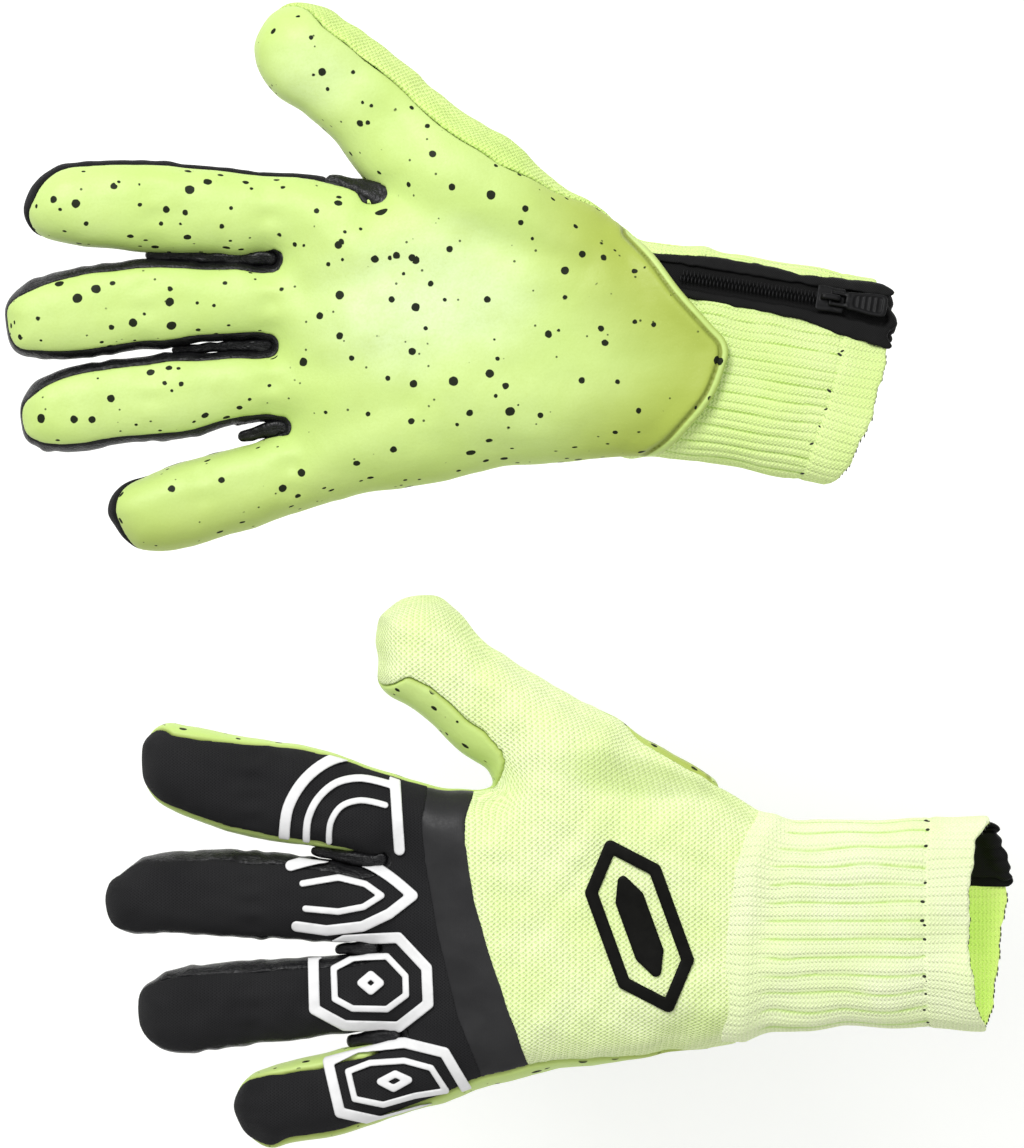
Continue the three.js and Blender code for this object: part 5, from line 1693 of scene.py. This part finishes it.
def build_marks(form):
    side = form.side
    for name, lines in PRINTS.items():
        moved = [(np.array(line) + PRINT_MOVE[side], width) for line, width in lines]
        raised_mark(form, "print_" + name, moved, PRINT, lift=1.3, corner=0.4)
    # emblem: a long six-sided frame, a core and a bar along it, all of one moulding
    low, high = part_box(side + "_back_badge")
    centre = (np.array(low) + np.array(high)) / 2 * 1000 - SHIFT
    turn = math.radians(EMBLEM_TURN + WRIST[side][2])
    way_x, way_y = math.cos(turn), math.sin(turn)
    lines = [([(centre[0] + along * way_x - across * way_y,
                centre[1] + along * way_y + across * way_x) for along, across in line], width)
             for line, width in EMBLEM]
    emblem = raised_mark(form, "emblem", lines, BADGE, lift=1.25, corner=1.0, rigid=True)[0]
    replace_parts(emblem, side + "_back_badge")


def name_replaced(side):
    """Hides the CAD node that each piece stands for."""
    hand = PIECES[(side, 0)]
    for label, node in (("latex", "palm_latex"), ("knuckle", "knuckle_panel"),
                        ("band", "knuckle_band"), ("backknit", "back_knit")):
        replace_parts(hand[label], f"{side}_{node}")
    for i, name in enumerate(DIGITS):
        back = "backknit" if name == "thumb" else "knuckle"
        for tip, part in enumerate(("base", "tip")):
            pieces = PIECES[(side, 1 + 2 * i + tip)]
            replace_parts(pieces["latex"], f"{side}_{name}_{part}_palm")
            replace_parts(pieces[back], f"{side}_{name}_{part}_back")


# ------------------------------------------------------------------ camera, floor and light
# metres and watts
SENSOR_WIDTH = 36.0
VIEW_DISTANCE, VIEW_WIDTH = 4.0, 0.34304
CAMERA_HEIGHT = 4.014
FLOOR_HALF, FLOOR_HEIGHT = 4, -0.35
LIGHTS = [
    dict(name="key", location=(-0.5, 1.05, 1.45), size=0.7, power=25.0),
    dict(name="fill", location=(0.9, -0.3, 1.6), size=1.4, power=3.5),
]


def add_camera(scene):
    camera = bpy.data.cameras.new("camera")
    camera.sensor_fit = "HORIZONTAL"
    camera.sensor_width = SENSOR_WIDTH
    camera.lens = SENSOR_WIDTH * VIEW_DISTANCE / VIEW_WIDTH
    camera.clip_end = 20.0
    obj = bpy.data.objects.new("camera", camera)
    obj.location = (SHIFT[0] / 1000, SHIFT[1] / 1000, CAMERA_HEIGHT)
    scene.collection.objects.link(obj)
    scene.camera = obj


def add_floor(scene):
    mesh = bpy.data.meshes.new("floor")
    corners = [(x * FLOOR_HALF, y * FLOOR_HALF, FLOOR_HEIGHT)
               for x, y in ((-1, -1), (1, -1), (1, 1), (-1, 1))]
    mesh.from_pydata(corners, [], [(0, 1, 2, 3)])
    obj = bpy.data.objects.new("floor", mesh)
    scene.collection.objects.link(obj)
    look = Look("floor", rough=0.9, specular=0.1)
    place = look.node("ShaderNodeNewGeometry").outputs[0]
    noise = look.noise(size=0.025, position=place)
    look.set("Emission Color", (1, 1, 1, 1))
    look.set("Emission Strength", 0.2)
    color = look.mix(noise, (0.955, 0.955, 0.955), (0.965, 0.965, 0.965))
    mesh.materials.append(look.done(color))


def add_lights(scene):
    world = bpy.data.worlds.new("world")
    world.use_nodes = True
    color, strength = world.node_tree.nodes["Background"].inputs[:2]
    color.default_value = (1, 1, 1, 1)
    strength.default_value = 0.58
    scene.world = world
    for spec in LIGHTS:
        light = bpy.data.lights.new(spec["name"], "AREA")
        light.energy, light.size = spec["power"], spec["size"]
        obj = bpy.data.objects.new(spec["name"], light)
        obj.location = spec["location"]
        to_middle = -Vector(spec["location"])
        obj.rotation_euler = to_middle.to_track_quat("-Z", "Y").to_euler()
        scene.collection.objects.link(obj)


def set_stage():
    scene = bpy.context.scene
    add_camera(scene)
    add_floor(scene)
    add_lights(scene)
    scene.view_settings.view_transform = "Standard"
    scene.view_settings.look = "None"


# ------------------------------------------------------------------ build
for side in ("right", "left"):
    glove = build_hand(side)
    for build in (build_marks, build_cuff, build_hem_stitches, build_mouth_thread, build_tapes,
                  build_teeth, build_stops, build_slider, build_pull):
        build(glove)
    name_replaced(side)
set_stage()
